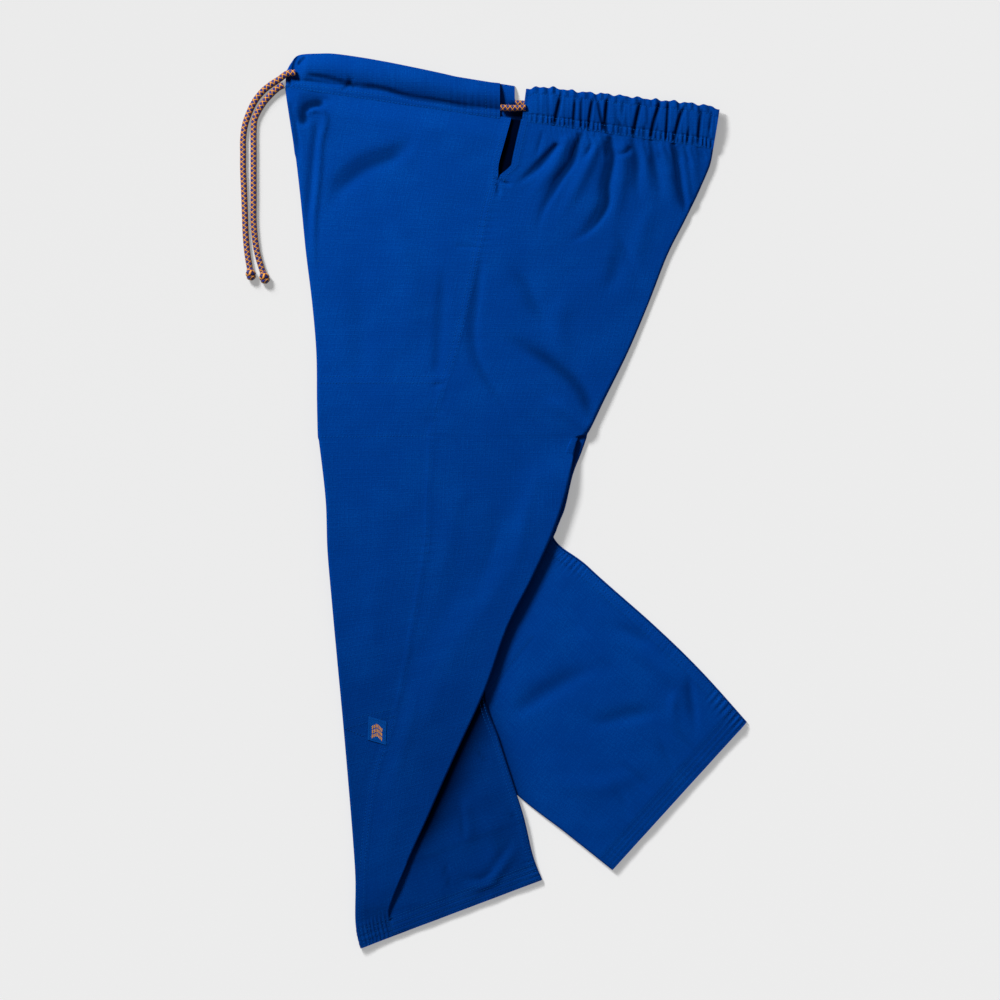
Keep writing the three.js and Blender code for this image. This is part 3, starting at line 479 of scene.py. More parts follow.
def camera():
    """A long lens straight above, framed as the photograph."""
    data = bpy.data.cameras.new("camera")
    data.lens = LENS
    data.sensor_width = SENSOR
    made = bpy.data.objects.new("camera", data)
    bpy.context.scene.collection.objects.link(made)
    made.location = (*VIEW_CENTRE, VIEW_WIDTH * LENS / SENSOR)
    data.clip_end = 20
    bpy.context.scene.camera = made


camera()


class Nodes:
    """Short ways to add and join the nodes of one material."""

    def __init__(self, name):
        self.material = bpy.data.materials.new(name)
        self.material.use_nodes = True
        self.tree = self.material.node_tree
        self.shader = self.tree.nodes["Principled BSDF"]

    def add(self, kind, **settings):
        node = self.tree.nodes.new(kind)
        for key, value in settings.items():
            setattr(node, key, value)
        return node

    def join(self, value, socket):
        if hasattr(value, "links"):
            self.tree.links.new(value, socket)
        else:
            socket.default_value = value

    def math(self, operation, *values):
        node = self.add("ShaderNodeMath", operation=operation)
        for value, socket in zip(values, node.inputs):
            self.join(value, socket)
        return node.outputs[0]

    def blend(self, share, a, b, kind="MIX"):
        node = self.add("ShaderNodeMix", data_type="RGBA", blend_type=kind)
        self.join(share, node.inputs[0])
        self.join(a, node.inputs[6])
        self.join(b, node.inputs[7])
        return node.outputs[2]

    def span(self, value, low, high, to_low=0.0, to_high=1.0):
        node = self.add("ShaderNodeMapRange", interpolation_type="SMOOTHSTEP")
        for v, socket in zip((value, low, high, to_low, to_high), node.inputs):
            self.join(v, socket)
        return node.outputs[0]

    def noise(self, place, scale, detail=2.0):
        node = self.add("ShaderNodeTexNoise")
        self.join(place, node.inputs["Vector"])
        node.inputs["Scale"].default_value = scale
        node.inputs["Detail"].default_value = detail
        return node.outputs[0]

    def place(self, name):
        """A mesh attribute of three numbers, and the three by themselves."""
        vector = self.add("ShaderNodeAttribute", attribute_name=name).outputs["Vector"]
        parts = self.add("ShaderNodeSeparateXYZ")
        self.join(vector, parts.inputs[0])
        return parts.outputs[0], parts.outputs[1], parts.outputs[2]

    def vector(self, x, y, z=0.0):
        node = self.add("ShaderNodeCombineXYZ")
        for value, socket in zip((x, y, z), node.inputs):
            self.join(value, socket)
        return node.outputs[0]

    def bump(self, height, distance, strength=1.0):
        node = self.add("ShaderNodeBump")
        node.inputs["Strength"].default_value = strength
        node.inputs["Distance"].default_value = distance
        self.join(height, node.inputs["Height"])
        self.join(node.outputs[0], self.shader.inputs["Normal"])

    def finish(self, colour, roughness, specular, sheen=0.0, tint=(1, 1, 1, 1)):
        self.join(colour, self.shader.inputs["Base Color"])
        self.shader.inputs["Roughness"].default_value = roughness
        self.shader.inputs["Specular IOR Level"].default_value = specular
        self.shader.inputs["Sheen Weight"].default_value = sheen
        self.shader.inputs["Sheen Roughness"].default_value = 0.45
        self.shader.inputs["Sheen Tint"].default_value = tint
        return self.material


def cloth_material(name, base, worn, grid=5.0, yarn=0.85):
    """Ripstop cotton: a plain weave with a raised grid, uneven yarns and a little wear."""
    n = Nodes(name)
    across, down, tone = n.place("cloth")
    flat = n.vector(across, down)
    grid_across = n.span(n.math("PINGPONG", across, grid / 2), 0.0, 0.55, 1.0, 0.0)
    grid_down = n.span(n.math("PINGPONG", down, grid / 2), 0.0, 0.55, 1.0, 0.0)
    grid_line = n.math("MAXIMUM", grid_across, grid_down)
    turn = 2 * math.pi / yarn
    weave = n.math("MULTIPLY", n.math("SINE", n.math("MULTIPLY", across, turn)),
                   n.math("SINE", n.math("MULTIPLY", down, turn)))
    fade = n.noise(flat, 0.018, 3.0)
    slub_across = n.noise(n.vector(n.math("MULTIPLY", across, 0.03), n.math("MULTIPLY", down, 0.8)), 1.0)
    slub_down = n.noise(n.vector(n.math("MULTIPLY", across, 0.8), n.math("MULTIPLY", down, 0.03)), 1.0)
    speck = n.noise(flat, 0.6, 1.0)
    slubs = n.math("MULTIPLY", n.math("ADD", slub_across, slub_down), 0.6)
    uneven = n.math("MULTIPLY_ADD", speck, 1.6, slubs)
    wear = n.math("MULTIPLY_ADD", n.math("SUBTRACT", uneven, 1.4), 0.9, n.math("MULTIPLY", grid_line, 0.14))
    wear = n.math("ADD", wear, n.span(fade, 0.35, 0.7, 0.0, 0.22))
    colour = n.blend(n.math("MINIMUM", n.math("MAXIMUM", wear, 0.0), 1.0), base, worn)
    # The tone of each point scales the colour; it carries painted light and shade as well as lighter hems and
    # seams.
    colour = n.blend(1.0, colour, n.vector(tone, tone, tone), "MULTIPLY")
    height = n.math("ADD", n.math("MULTIPLY", weave, 0.35), n.math("MULTIPLY", grid_line, 0.8))
    height = n.math("ADD", height, n.math("MULTIPLY", uneven, 0.9))
    n.bump(height, 0.14 * MM, 0.9)
    return n.finish(colour, 0.9, 0.0, 0.06, (0.02, 0.25, 0.95, 1))


def thread_material(name, colour):
    """Twisted sewing thread."""
    n = Nodes(name)
    across, down, _ = n.place("cloth")
    twist = n.math("SINE", n.math("MULTIPLY", n.math("ADD", across, down), 9.0))
    worn = n.blend(n.span(twist, -1.0, 1.0, 0.0, 0.5), colour, tuple(0.6 * c for c in colour[:3]) + (1,))
    n.bump(twist, 0.05 * MM, 0.6)
    return n.finish(worn, 0.7, 0.02)


def braid_material():
    """Round braid: an orange lattice of yarns over dark blue ones."""
    n = Nodes("braid")
    around, down, _ = n.place("cloth")
    starts = n.math("MULTIPLY", around, float(BRAID_STARTS))
    turns = n.math("DIVIDE", down, BRAID_PITCH)
    one = n.math("PINGPONG", n.math("ADD", starts, turns), 0.5)
    two = n.math("PINGPONG", n.math("SUBTRACT", starts, turns), 0.5)
    near = n.math("MINIMUM", one, two)
    lattice = n.span(near, 0.08, 0.13, 1.0, 0.0)
    core = n.span(near, 0.0, 0.14, 1.0, 0.0)
    yarn = n.noise(n.vector(n.math("MULTIPLY", around, 14.0), n.math("MULTIPLY", down, 0.9)), 1.6, 2.0)
    # Painted shade: each orange yarn is deeper in colour towards its edges, and the navy is deeper beside the
    # orange yarns.
    orange = n.blend(n.math("MULTIPLY", core, n.span(yarn, 0.3, 0.6, 0.55, 1.0)), ORANGE_SHADED, ORANGE)
    navy = n.blend(n.span(near, 0.15, 0.36, 0.0, 1.0), NAVY_SHADED, NAVY)
    colour = n.blend(lattice, navy, orange)
    threads = n.math("SINE", n.math("MULTIPLY", n.math("ADD", starts, turns), 60.0))
    n.bump(n.math("ADD", core, n.math("MULTIPLY", threads, 0.12)), 0.35 * MM, 0.8)
    return n.finish(colour, 0.55, 0.25, 0.15, (1, 0.8, 0.6, 1))


def floor_material():
    """A plain light grey that makes up for the lamp's fall-off."""
    n = Nodes("floor")
    place = n.add("ShaderNodeNewGeometry").outputs["Position"]
    parts = n.add("ShaderNodeSeparateXYZ")
    n.join(place, parts.inputs[0])
    across = n.math("SUBTRACT", parts.outputs[0], LAMP[0])
    down = n.math("SUBTRACT", parts.outputs[1], LAMP[1])
    squared = n.math("ADD", n.math("MULTIPLY", across, across), n.math("MULTIPLY", down, down))
    away = n.math("POWER", n.math("ADD", squared, LAMP[2] ** 2), -1.5)
    lit = n.math("MULTIPLY_ADD", away, LAMP_SHARE, SUN_SHARE + WORLD_SHARE)
    shade = n.math("MINIMUM", n.math("DIVIDE", FLOOR_SHOWN * (1 - FLOOR_GLOW), lit), 0.97)
    n.shader.inputs["Emission Color"].default_value = (1, 1, 1, 1)
    n.shader.inputs["Emission Strength"].default_value = FLOOR_SHOWN * FLOOR_GLOW
    return n.finish(n.vector(shade, shade, shade), 0.9, 0.0)


CLOTH_BLUE = cloth_material("ripstop_cotton", BLUE, BLUE_WORN)
LABEL_CLOTH = cloth_material("label_satin", LABEL_BLUE, LABEL_WORN, 1.2, 0.4)
THREAD_MATERIAL = thread_material("blue_thread", THREAD_BLUE)
MOTIF_MATERIAL = thread_material("orange_thread", MOTIF_ORANGE)
BRAID = braid_material()


def build(name, points, faces, material, place, smooth=True):
    """A mesh object that rides with the garment. Edges round its flat faces are sharp."""
    mesh = bpy.data.meshes.new(name)
    mesh.from_pydata((np.asarray(points) * MM).tolist(), [], [tuple(f) for f in faces])
    mesh.materials.append(material)
    smooth = np.broadcast_to(smooth, len(mesh.polygons))
    mesh.polygons.foreach_set("use_smooth", smooth)
    if not smooth.all():
        edge_of = np.empty(len(mesh.loops), np.int32)
        mesh.loops.foreach_get("edge_index", edge_of)
        sharp = np.zeros(len(mesh.edges), bool)
        sharp[edge_of[np.repeat(~smooth, 4)]] = True
        mesh.edges.foreach_set("use_edge_sharp", sharp)
    attribute = mesh.attributes.new("cloth", "FLOAT_VECTOR", "POINT")
    attribute.data.foreach_set("vector", np.asarray(place, np.float32).ravel())
    mesh.update()
    made = bpy.data.objects.new(name, mesh)
    bpy.context.scene.collection.objects.link(made)
    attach(made, "root")
    return made


def stand_for(made, node):
    """Shows a piece in place of a node of the part."""
    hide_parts(node)
    return made


def smooth_line(points, steps):
    """A route through points, bent smoothly, with this many steps between each pair."""
    points = np.array(points, float)
    ends = np.vstack([points[:1], points, points[-1:]])
    t = (np.arange(steps) / steps)[:, None]
    parts = [catmull(*ends[i:i + 4], t) for i in range(len(points) - 1)]
    return np.vstack(parts + [points[-1:]])


def lengths(line):
    """Distance along a line at each of its points."""
    return np.concatenate([[0], np.cumsum(np.linalg.norm(np.diff(line, axis=0), axis=1))])


def even_line(points, step):
    """A smooth route cut into even steps."""
    line = smooth_line(points, 16)
    along = lengths(line)
    count = max(2, int(round(along[-1] / step)))
    want = np.linspace(0, along[-1], count + 1)
    return np.stack([np.interp(want, along, line[:, k]) for k in range(line.shape[1])], 1)


def tube(name, route, radius, sides, material):
    """A round tube whose radius may change along it. Its attribute is the share of a turn and the length."""
    route = np.asarray(route, float)
    radius = np.broadcast_to(radius, len(route))
    tangent = np.gradient(route, axis=0)
    tangent /= np.linalg.norm(tangent, axis=1, keepdims=True)
    side = np.cross(tangent, (0, 0, 1.0))
    side /= np.linalg.norm(side, axis=1, keepdims=True)
    up = np.cross(side, tangent)
    turn = 2 * np.pi * np.arange(sides + 1) / sides
    ring = np.cos(turn)[None, :, None] * side[:, None] + np.sin(turn)[None, :, None] * up[:, None]
    points = route[:, None] + ring[:, :sides] * radius[:, None, None]
    along = lengths(route)
    place = np.zeros((len(route), sides, 3))
    place[..., 0] = np.minimum(turn[:sides], 2 * np.pi - turn[:sides]) / (2 * np.pi)
    place[..., 1] = along[:, None]
    place[..., 2] = 1
    faces = [
        (i * sides + k, i * sides + (k + 1) % sides, (i + 1) * sides + (k + 1) % sides, (i + 1) * sides + k)
        for i in range(len(route) - 1) for k in range(sides)
    ]
    faces.append(tuple(range(sides))[::-1])
    faces.append(tuple((len(route) - 1) * sides + k for k in range(sides)))
    return build(name, points.reshape(-1, 3), [f[::-1] for f in faces], material, place.reshape(-1, 3))


def drawstring_end(letter, route):
    """One free end of the drawstring and its knot."""
    line = even_line(route, CORD_STEP)
    cord = tube(f"braided_end_{letter}", line, CORD_DIAMETER / 2, CORD_SIDES, BRAID)
    stand_for(cord, f"drawstring_end_{letter}")
    direction = line[-1] - line[-3]
    direction[2] = 0
    direction /= np.linalg.norm(direction)
    share = np.linspace(0, 1, 26)
    start = line[-1] - direction * KNOT_OVERLAP
    core = start + direction * (share * (KNOT_LENGTH + KNOT_OVERLAP))[:, None]
    bulb = np.interp(share, *zip(*KNOT_PROFILE))
    radius = KNOT_DIAMETER / 2 * bulb * (1 + 0.05 * np.sin(share * 17))
    core[:, 2] = np.maximum(radius + 0.15, mix(line[-1, 2], KNOT_DIAMETER / 2 + 0.1, ease(share * 2)))
    knot = tube(f"braided_knot_{letter}", core, radius, CORD_SIDES, BRAID)
    stand_for(knot, f"drawstring_knot_{letter}")


def drawstring_crossing(name, node, route):
    """A short stretch of the cord that shows where it crosses the side slit."""
    stand_for(tube(name, even_line(route, CORD_STEP), CORD_DIAMETER / 2, CORD_SIDES, BRAID), node)


drawstring_end("a", CORD_A)
drawstring_end("b", CORD_B)
drawstring_crossing("braid_at_near_slit", "drawstring_at_near_slit", NEAR_CROSSING)
drawstring_crossing("braid_at_far_slit", "drawstring_at_far_slit", FAR_CROSSING)


def along(row, s):
    """The place in plan at a distance along rows."""
    tilt = np.radians(row.tilt)
    x, y = row.x, row.y
    if np.ndim(s) > np.ndim(tilt):
        tilt, x, y = tilt[:, None], x[:, None], y[:, None]
    return x + s * np.cos(tilt), y + s * np.sin(tilt)


def nearest(line, x, y):
    """Distance to a line through points, positive on its left, and the share of its length there."""
    line = np.asarray(line, float)
    total = lengths(line)
    best = np.full(np.shape(x), np.inf)
    side = np.ones(np.shape(x))
    share = np.zeros(np.shape(x))
    for (ax, ay), (bx, by), from_start in zip(line[:-1], line[1:], total):
        dx, dy = bx - ax, by - ay
        size = math.hypot(dx, dy)
        t = np.clip(((x - ax) * dx + (y - ay) * dy) / size**2, 0, 1)
        gap = np.hypot(x - ax - t * dx, y - ay - t * dy)
        closer = gap < best
        best = np.where(closer, gap, best)
        side = np.where(closer, np.where(dx * (y - ay) - dy * (x - ax) > 0, 1, -1), side)
        share = np.where(closer, (from_start + t * size) / total[-1], share)
    return best * side, share


def side_of(line, x, y):
    """Distance to a line through points, positive on its left."""
    return nearest(line, x, y)[0]


def creases(table, x, y, gain=1.0):
    """Height that a table of folds and creases adds at each place."""
    total = np.zeros(np.shape(x))
    for route, height, left, right, fade_in, fade_out in table:
        line = smooth_line(route, 5)
        reach = 1.7 * max(left, right)
        low, high = line.min(0) - reach, line.max(0) + reach
        near = (x > low[0]) & (x < high[0]) & (y > low[1]) & (y < high[1])
        if not near.any():
            continue
        gap, share = nearest(line, x[near], y[near])
        width = np.where(gap > 0, left, right) * (0.7 + 0.3 * np.sin(np.pi * share))
        strength = ease(share / fade_in) * ease((1 - share) / fade_out)
        total[near] += gain * height * strength * np.exp(-2.2 * (gap / width) ** 2)
    return total


def fold_shade(table, x, y, most, deep):
    """How much painted shade darkens cloth inside folds, from 1 outside them down to 1 - most where they are
    deep.
    """
    return 1 - most * (1 - np.exp(-((np.maximum(0, -creases(table, x, y)) / deep) ** 2)))


def leg_light_and_shade(x, y):
    """Painted light and shade on the near side's cloth: a little lighter high up and darker low down, and
    painted shade at the front of the waist.
    """
    front = 0.14 * np.exp(-(((x + 240) / 50) ** 2)) * np.exp(-(((y - 445) / 55) ** 2))
    return mix(1.06, 0.97, ease((-120 - y) / 150)) - front


def ripple(x, y, size, seed):
    """Gentle unevenness between -1 and 1 with features about this size."""
    draws = np.random.default_rng(seed)
    total = np.zeros(np.shape(x))
    for _ in range(7):
        turn, phase = draws.uniform(0, 2 * np.pi, 2)
        wave = 2 * np.pi / (size * draws.uniform(0.7, 1.5))
        total += np.sin((x * np.cos(turn) + y * np.sin(turn)) * wave + phase)
    return total / 7 ** 0.5 / 1.4


def row_at(table, y):
    """The fractional row whose front edge is level with y."""
    return np.interp(-y, -table.rows[:, 1], np.arange(table.last + 1))


def below_waist(x, y):
    """Distance below the lower edge of the waist casings."""
    tilt = math.radians(NEAR.rows[0, 2])
    return np.maximum(0, (x - NEAR.rows[0, 0]) * math.sin(tilt) - (y - NEAR.rows[0, 1]) * math.cos(tilt))


def higher(a, b, blend=0.5):
    """The higher of two, rounded where they meet."""
    return 0.5 * (a + b + np.sqrt((a - b) ** 2 + blend**2))


FAR_EDGE = np.stack(along(FAR.at(np.arange(FAR_EDGE_TOP, FAR.last + 0.01, 0.5)), 0.0), 1)


def waist_foot(x, levels):
    """Height of a panel where it is sewn to its casing, in front and behind."""
    return mix(levels[0], levels[1], ease((x + 14) / 20))


def lift(x, y):
    """How high the far leg holds up the near one."""
    beside = ease((side_of(FAR_EDGE, x, y) + LIFT_REACH) / LIFT_RAMP)
    return FAR_LEG_STACK * beside * ease((LIFT_TOP_Y - y) / LIFT_FALL)


def far_floor(x, y):
    """Mid-height of the far side's layer on the surface."""
    below = below_waist(x, y)
    usual = FLOOR_LAYER + FAR_WAIST_LIFT * np.exp(-below / WAIST_FADE)
    return mix(waist_foot(x, FAR_FOOT), usual, ease(below / WAIST_RISE))


def far_top(x, y):
    """Mid-height of the far leg's upper layer."""
    opened = ease((side_of(NEAR_RIM, x, y) - 5) / 30)
    uneven = 0.25 * ripple(x, y, 60, 11) + 0.18 * ripple(x, y, 28, 12)
    return FAR_LAYER + opened * (1.6 + creases(FAR_CREASES, x, y, 1.5) + uneven)


def near_mid(x, y):
    """Mid-height of the near outer layer."""
    up = lift(x, y)
    leg = ease((LEG_FALL_Y - y) / LEG_FALL)
    closed = ease((CLOSED_Y - y) / CLOSED_FALL)
    row = NEAR.at(row_at(NEAR, y))
    from_front = x - row.x
    to_back = row.x + row.back * np.cos(np.radians(row.tilt)) - x
    pleat = ease((row.depth + PLEAT_REACH - to_back) / PLEAT_RAMP)
    pleat = pleat * ease((PLEAT_TOP_Y - y) / PLEAT_TOP_FALL) * ease((y - PLEAT_END_Y) / PLEAT_END_RISE)
    base = up + mix(HIP_LEVEL, LEG_LEVEL, leg) + PLEAT_LIFT * pleat
    front_edge = np.exp(-np.maximum(0, from_front) / FRONT_FADE)
    edges = front_edge + 0.9 * np.exp(-np.maximum(0, to_back) / BACK_FADE) * pleat
    below = below_waist(x, y)
    usual = base + EDGE_LOFT * leg * edges + WAIST_LIFT * np.exp(-below / WAIST_FADE)
    usual = mix(usual, up + SECOND_LAYER + 0.12 + EDGE_LOFT * front_edge, closed)
    rise = ease(below / WAIST_RISE)
    folded = creases(NEAR_CREASES, x, y, 1.35) * mix(0.4, 1, rise) * (1 - closed)
    uneven = 0.22 * ripple(x, y, 70, 5) + 0.16 * ripple(x, y, 30, 6)
    height = mix(waist_foot(x, NEAR_FOOT), usual, rise) + folded + uneven * rise * (1 - closed)
    height = higher(height, up + SECOND_LAYER + mix(0.3, 0.02, closed), mix(0.5, 0.1, closed))
    return higher(height, far_floor(x, y) + CLOTH + LAYER_REST)


def normals(mid, up=True):
    """Unit normals of a grid of points, on the side that faces up, or down, at its start."""
    pad = np.pad(mid, ((1, 1), (1, 1), (0, 0)), mode="edge")
    across = pad[1:-1, 2:] - pad[1:-1, :-2]
    down = pad[2:, 1:-1] - pad[:-2, 1:-1]
    facing = np.cross(across, down)
    facing /= np.maximum(np.linalg.norm(facing, axis=2, keepdims=True), 1e-9)
    return facing if (facing[0, 1, 2] > 0) == up else -facing


def solid(name, over, under, place, material, keep=None):
    """Closed solid between two grids of points, over the cells that are kept."""
    rows, cols = over.shape[0] - 1, over.shape[1] - 1
    keep = np.ones((rows, cols), bool) if keep is None else keep
    half = (rows + 1) * (cols + 1)
    i, j = np.nonzero(keep)
    a, b = i * (cols + 1) + j, i * (cols + 1) + j + 1
    c, d = b + cols + 1, a + cols + 1
    open_edge = np.pad(~keep, 1, constant_values=True)
    faces = [np.stack([a, b, c, d], 1), np.stack([d, c, b, a], 1) + half]
    for di, dj, p, q in ((-1, 0, b, a), (1, 0, d, c), (0, -1, a, d), (0, 1, c, b)):
        rim = open_edge[i + 1 + di, j + 1 + dj]
        faces.append(np.stack([p[rim], q[rim], q[rim] + half, p[rim] + half], 1))
    smooth = np.repeat((True, False), (2 * len(i), sum(len(f) for f in faces[2:])))
    faces = np.vstack(faces)
    points = np.vstack([over.reshape(-1, 3), under.reshape(-1, 3)])
    corner = points[faces]
    volume = np.einsum("ij,ij->i", corner[:, 0], np.cross(corner[:, 1], corner[:, 2])).sum()
    volume += np.einsum("ij,ij->i", corner[:, 0], np.cross(corner[:, 2], corner[:, 3])).sum()
    if volume < 0:
        faces = faces[:, ::-1]
    used, faces = np.unique(faces, return_inverse=True)
    place = np.vstack([place.reshape(-1, 3)] * 2)[used]
    return build(name, points[used], faces.reshape(-1, 4).tolist(), material, place, smooth)


class Face:
    """The outer face of cloth, as grids of points and normals, for what is sewn on it."""

    def __init__(self, over, normal):
        self.over = over
        self.normal = normal
        self.last_row = over.shape[0] - 1
        self.last_column = over.shape[1] - 1

    def sample(self, i, j, above=0.0):
        """Points of the face, and its normals, at fractional rows and columns."""
        i = np.clip(i, 0, self.over.shape[0] - 1.001)
        j = np.clip(j, 0, self.over.shape[1] - 1.001)
        i0, j0 = np.floor(i).astype(int), np.floor(j).astype(int)
        s, t = (i - i0)[:, None], (j - j0)[:, None]

        def read(grid):
            upper = mix(grid[i0, j0], grid[i0, j0 + 1], t)
            lower = mix(grid[i0 + 1, j0], grid[i0 + 1, j0 + 1], t)
            return mix(upper, lower, s)

        facing = read(self.normal)
        facing /= np.linalg.norm(facing, axis=1, keepdims=True)
        return read(self.over) + facing * above, facing


class Panel(Face):
    """A wall of cloth about a grid of mid points."""

    def __init__(self, mid, thickness=CLOTH, out=0.0, swell=0.0, tone=1.0, up=True):
        normal = normals(mid, up)
        swell = np.broadcast_to(swell, mid.shape[:2])[..., None]
        super().__init__(mid + normal * (out + thickness / 2 + swell), normal)
        self.under = mid + normal * (out - thickness / 2)
        step_across = np.linalg.norm(np.diff(mid, axis=1), axis=2)
        step_down = np.linalg.norm(np.diff(mid, axis=0), axis=2)
        self.place = np.zeros(mid.shape)
        self.place[:, 1:, 0] = np.cumsum(step_across, axis=1)
        self.place[1:, :, 1] = np.cumsum(step_down.mean(axis=1))[:, None]
        # The tone holds painted light and shade, and the lighter cloth of hems and seams.
        self.place[..., 2] = tone

    def build(self, name, node, keep=None, material=CLOTH_BLUE, slot="cotton"):
        self.piece = stand_for(solid(name, self.over, self.under, self.place, material, keep), node)
        return self


def even_rows(table, first, last, step):
    """Fractional rows at even steps down the front edge."""
    fine = np.linspace(first, last, 400)
    line = np.stack(along(table.at(fine), 0.0), 1)
    total = lengths(line)
    return np.interp(np.linspace(0, total[-1], max(2, int(round(total[-1] / step))) + 1), total, fine)


def joined_rows(table, stretches):
    """Fractional rows for several stretches: first row, last row and step of each."""
    parts = [even_rows(table, *stretch) for stretch in stretches]
    return np.concatenate([parts[0]] + [p[1:] for p in parts[1:]])


def to_end(rows_v, table, line_of):
    """Distance from each row to the last one, down the middle of a panel."""
    line = np.stack(line_of(table.at(rows_v)), 1)
    total = lengths(line)
    return total[-1] - total


def pucker(distance, from_edge, pitch=7.0, seed=1):
    """Small puckers beside a sewn edge: distance runs along the edge, from_edge away from it."""
    wobble = distance / pitch + 0.6 * np.sin(distance / 31.0 + seed)
    wobble = wobble + 0.3 * np.sin(distance / 12.7 + 2 * seed)
    size = 0.6 + 0.4 * np.sin(distance / 19.0 + seed)
    return np.sin(2 * np.pi * wobble) * size * np.exp(-(from_edge / 7.0) ** 2)


def grid(row, s, z):
    """Points at distances along rows and at these heights."""
    x, y = along(row, s)
    return np.stack([x, y, z], 2)


def between(first, last, count, start=0):
    """For each row, even steps from its first place to its last."""
    return mix(first[:, None], last[:, None], (np.arange(start, count + 1) / count)[None])


def kept(v, columns, leg_top, hip_columns):
    """The cells of a panel that are built: all of them on the leg, and its first columns at the hip."""
    return (v[:-1, None] >= leg_top - 1e-6) | (np.arange(columns - 1)[None] < hip_columns)


def under_casing(mid):
    """Runs the top row of a panel up under its casing, and gives all its places in plan."""
    tilt = math.radians(NEAR.rows[0, 2])
    mid[0, :, 0] -= WAIST_LAP * math.sin(tilt)
    mid[0, :, 1] += WAIST_LAP * math.cos(tilt)
    return mid[..., 0], mid[..., 1]


def hem_swell(across, hem, seed):
    """The hem's turned-up cloth and the puckers between its rows of stitches."""
    turned = HEM_RAISE * ease((HEM_WIDTH - hem) / 1.5)
    for row in HEM_ROWS:
        turned = turned - HEM_GROOVE * np.exp(-(((hem - row) / 1.3) ** 2))
    return turned + HEM_PUCKER * pucker(across, np.maximum(0, hem - 17) / 1.3, 5.2, seed) * ease(hem / 3)


def hem_tone_and_shade(hem):
    """The hem's turned-up cloth is a little lighter, with painted shade where its rows of stitches pull it
    in.
    """
    rows = sum(np.exp(-(((hem - row) / 1.5) ** 2)) for row in HEM_ROWS)
    return 1 + 0.09 * ease((HEM_WIDTH - hem) / 2) - 0.28 * rows


def front_turn(row):
    """Front edge of near rows: where the outer layer starts to turn under, and its turn."""
    start = np.full(len(row.x), EDGE_START)
    for _ in range(SETTLE):
        x, y = along(row, start)
        leg = ease((row.v - NEAR_LEG_TOP + 2) / 2)
        under = mix(far_floor(x, y), lift(x, y) + FLOOR_LAYER, leg)
        turn = (near_mid(x, y) - under) / 2
        start = turn + HALF
    return start, turn


def near_front():
    """Side seam, round the front edge and under the leg to the inside seam."""
    outer, bend, inner = 74, 8, 14
    stretches = [(0, 6, 2.2), (6, NEAR_LEG_TOP, 2.6), (NEAR_LEG_TOP, HEM_ROW, 2.9), (HEM_ROW, NEAR.last, 1.3)]
    v = joined_rows(NEAR, stretches)
    row = NEAR.at(v)
    start, turn = front_turn(row)
    s_outer = between(row.seam - SEAM_GAP / 2, start, outer)
    x, y = along(row, s_outer)
    z_outer = near_mid(x, y)
    a = (np.pi * np.arange(1, bend + 1) / bend)[None]
    s_bend = start[:, None] - turn[:, None] * np.sin(a)
    z_bend = z_outer[:, -1:] - turn[:, None] * (1 - np.cos(a))
    s_inner = between(start, row.inseam - HALF - PLEAT_TURN - SEAM_ROOM, inner, 1)
    z_inner = FLOOR_LAYER + lift(*along(row, s_inner))
    s = np.hstack([s_outer, s_bend, s_inner])
    mid = grid(row, s, np.hstack([z_outer, z_bend, z_inner]))
    number = np.arange(s.shape[1])[None]
    hem = to_end(v, NEAR, lambda r: along(r, r.seam / 2))[:, None]
    beside = np.where(number <= outer, row.seam[:, None] - s, NOT_BESIDE)
    slitless = ease((row.v[:, None] - SLIT_ROW) / 0.5)
    swell = hem_swell(s, hem, 3) + SEAM_RAISE * ease((9.5 - beside) / 4)
    down_seam = to_end(v, NEAR, lambda r: along(r, r.seam))[:, None]
    swell = swell + SEAM_PUCKER * pucker(down_seam, beside / 1.5, 8, 2) * slitless
    below = below_waist(mid[..., 0], mid[..., 1])
    swell = swell + WAIST_PUCKER * pucker(s, below / 1.5, 7, 4) * ease((below - 0.5) / 3) * (mid[..., 2] > 3)
    swell = swell * (number < outer + bend - 1)
    x, y = under_casing(mid)
    # Painted shade in the folds and in the hem's stitch rows, and the near side's painted light and shade, go
    # into the tone.
    tone = hem_tone_and_shade(hem) + 0.05 * ease((9 - beside) / 3)
    tone = tone * leg_light_and_shade(x, y) * fold_shade(NEAR_CREASES, x, y, *NEAR_SHADE)
    panel = Panel(mid, swell=swell, tone=tone)
    panel.rows, panel.edge = v, outer
    keep = kept(v, s.shape[1], NEAR_LEG_TOP, outer + bend // 2)
    return panel.build("near_front_cloth", "near_front_panel", keep)


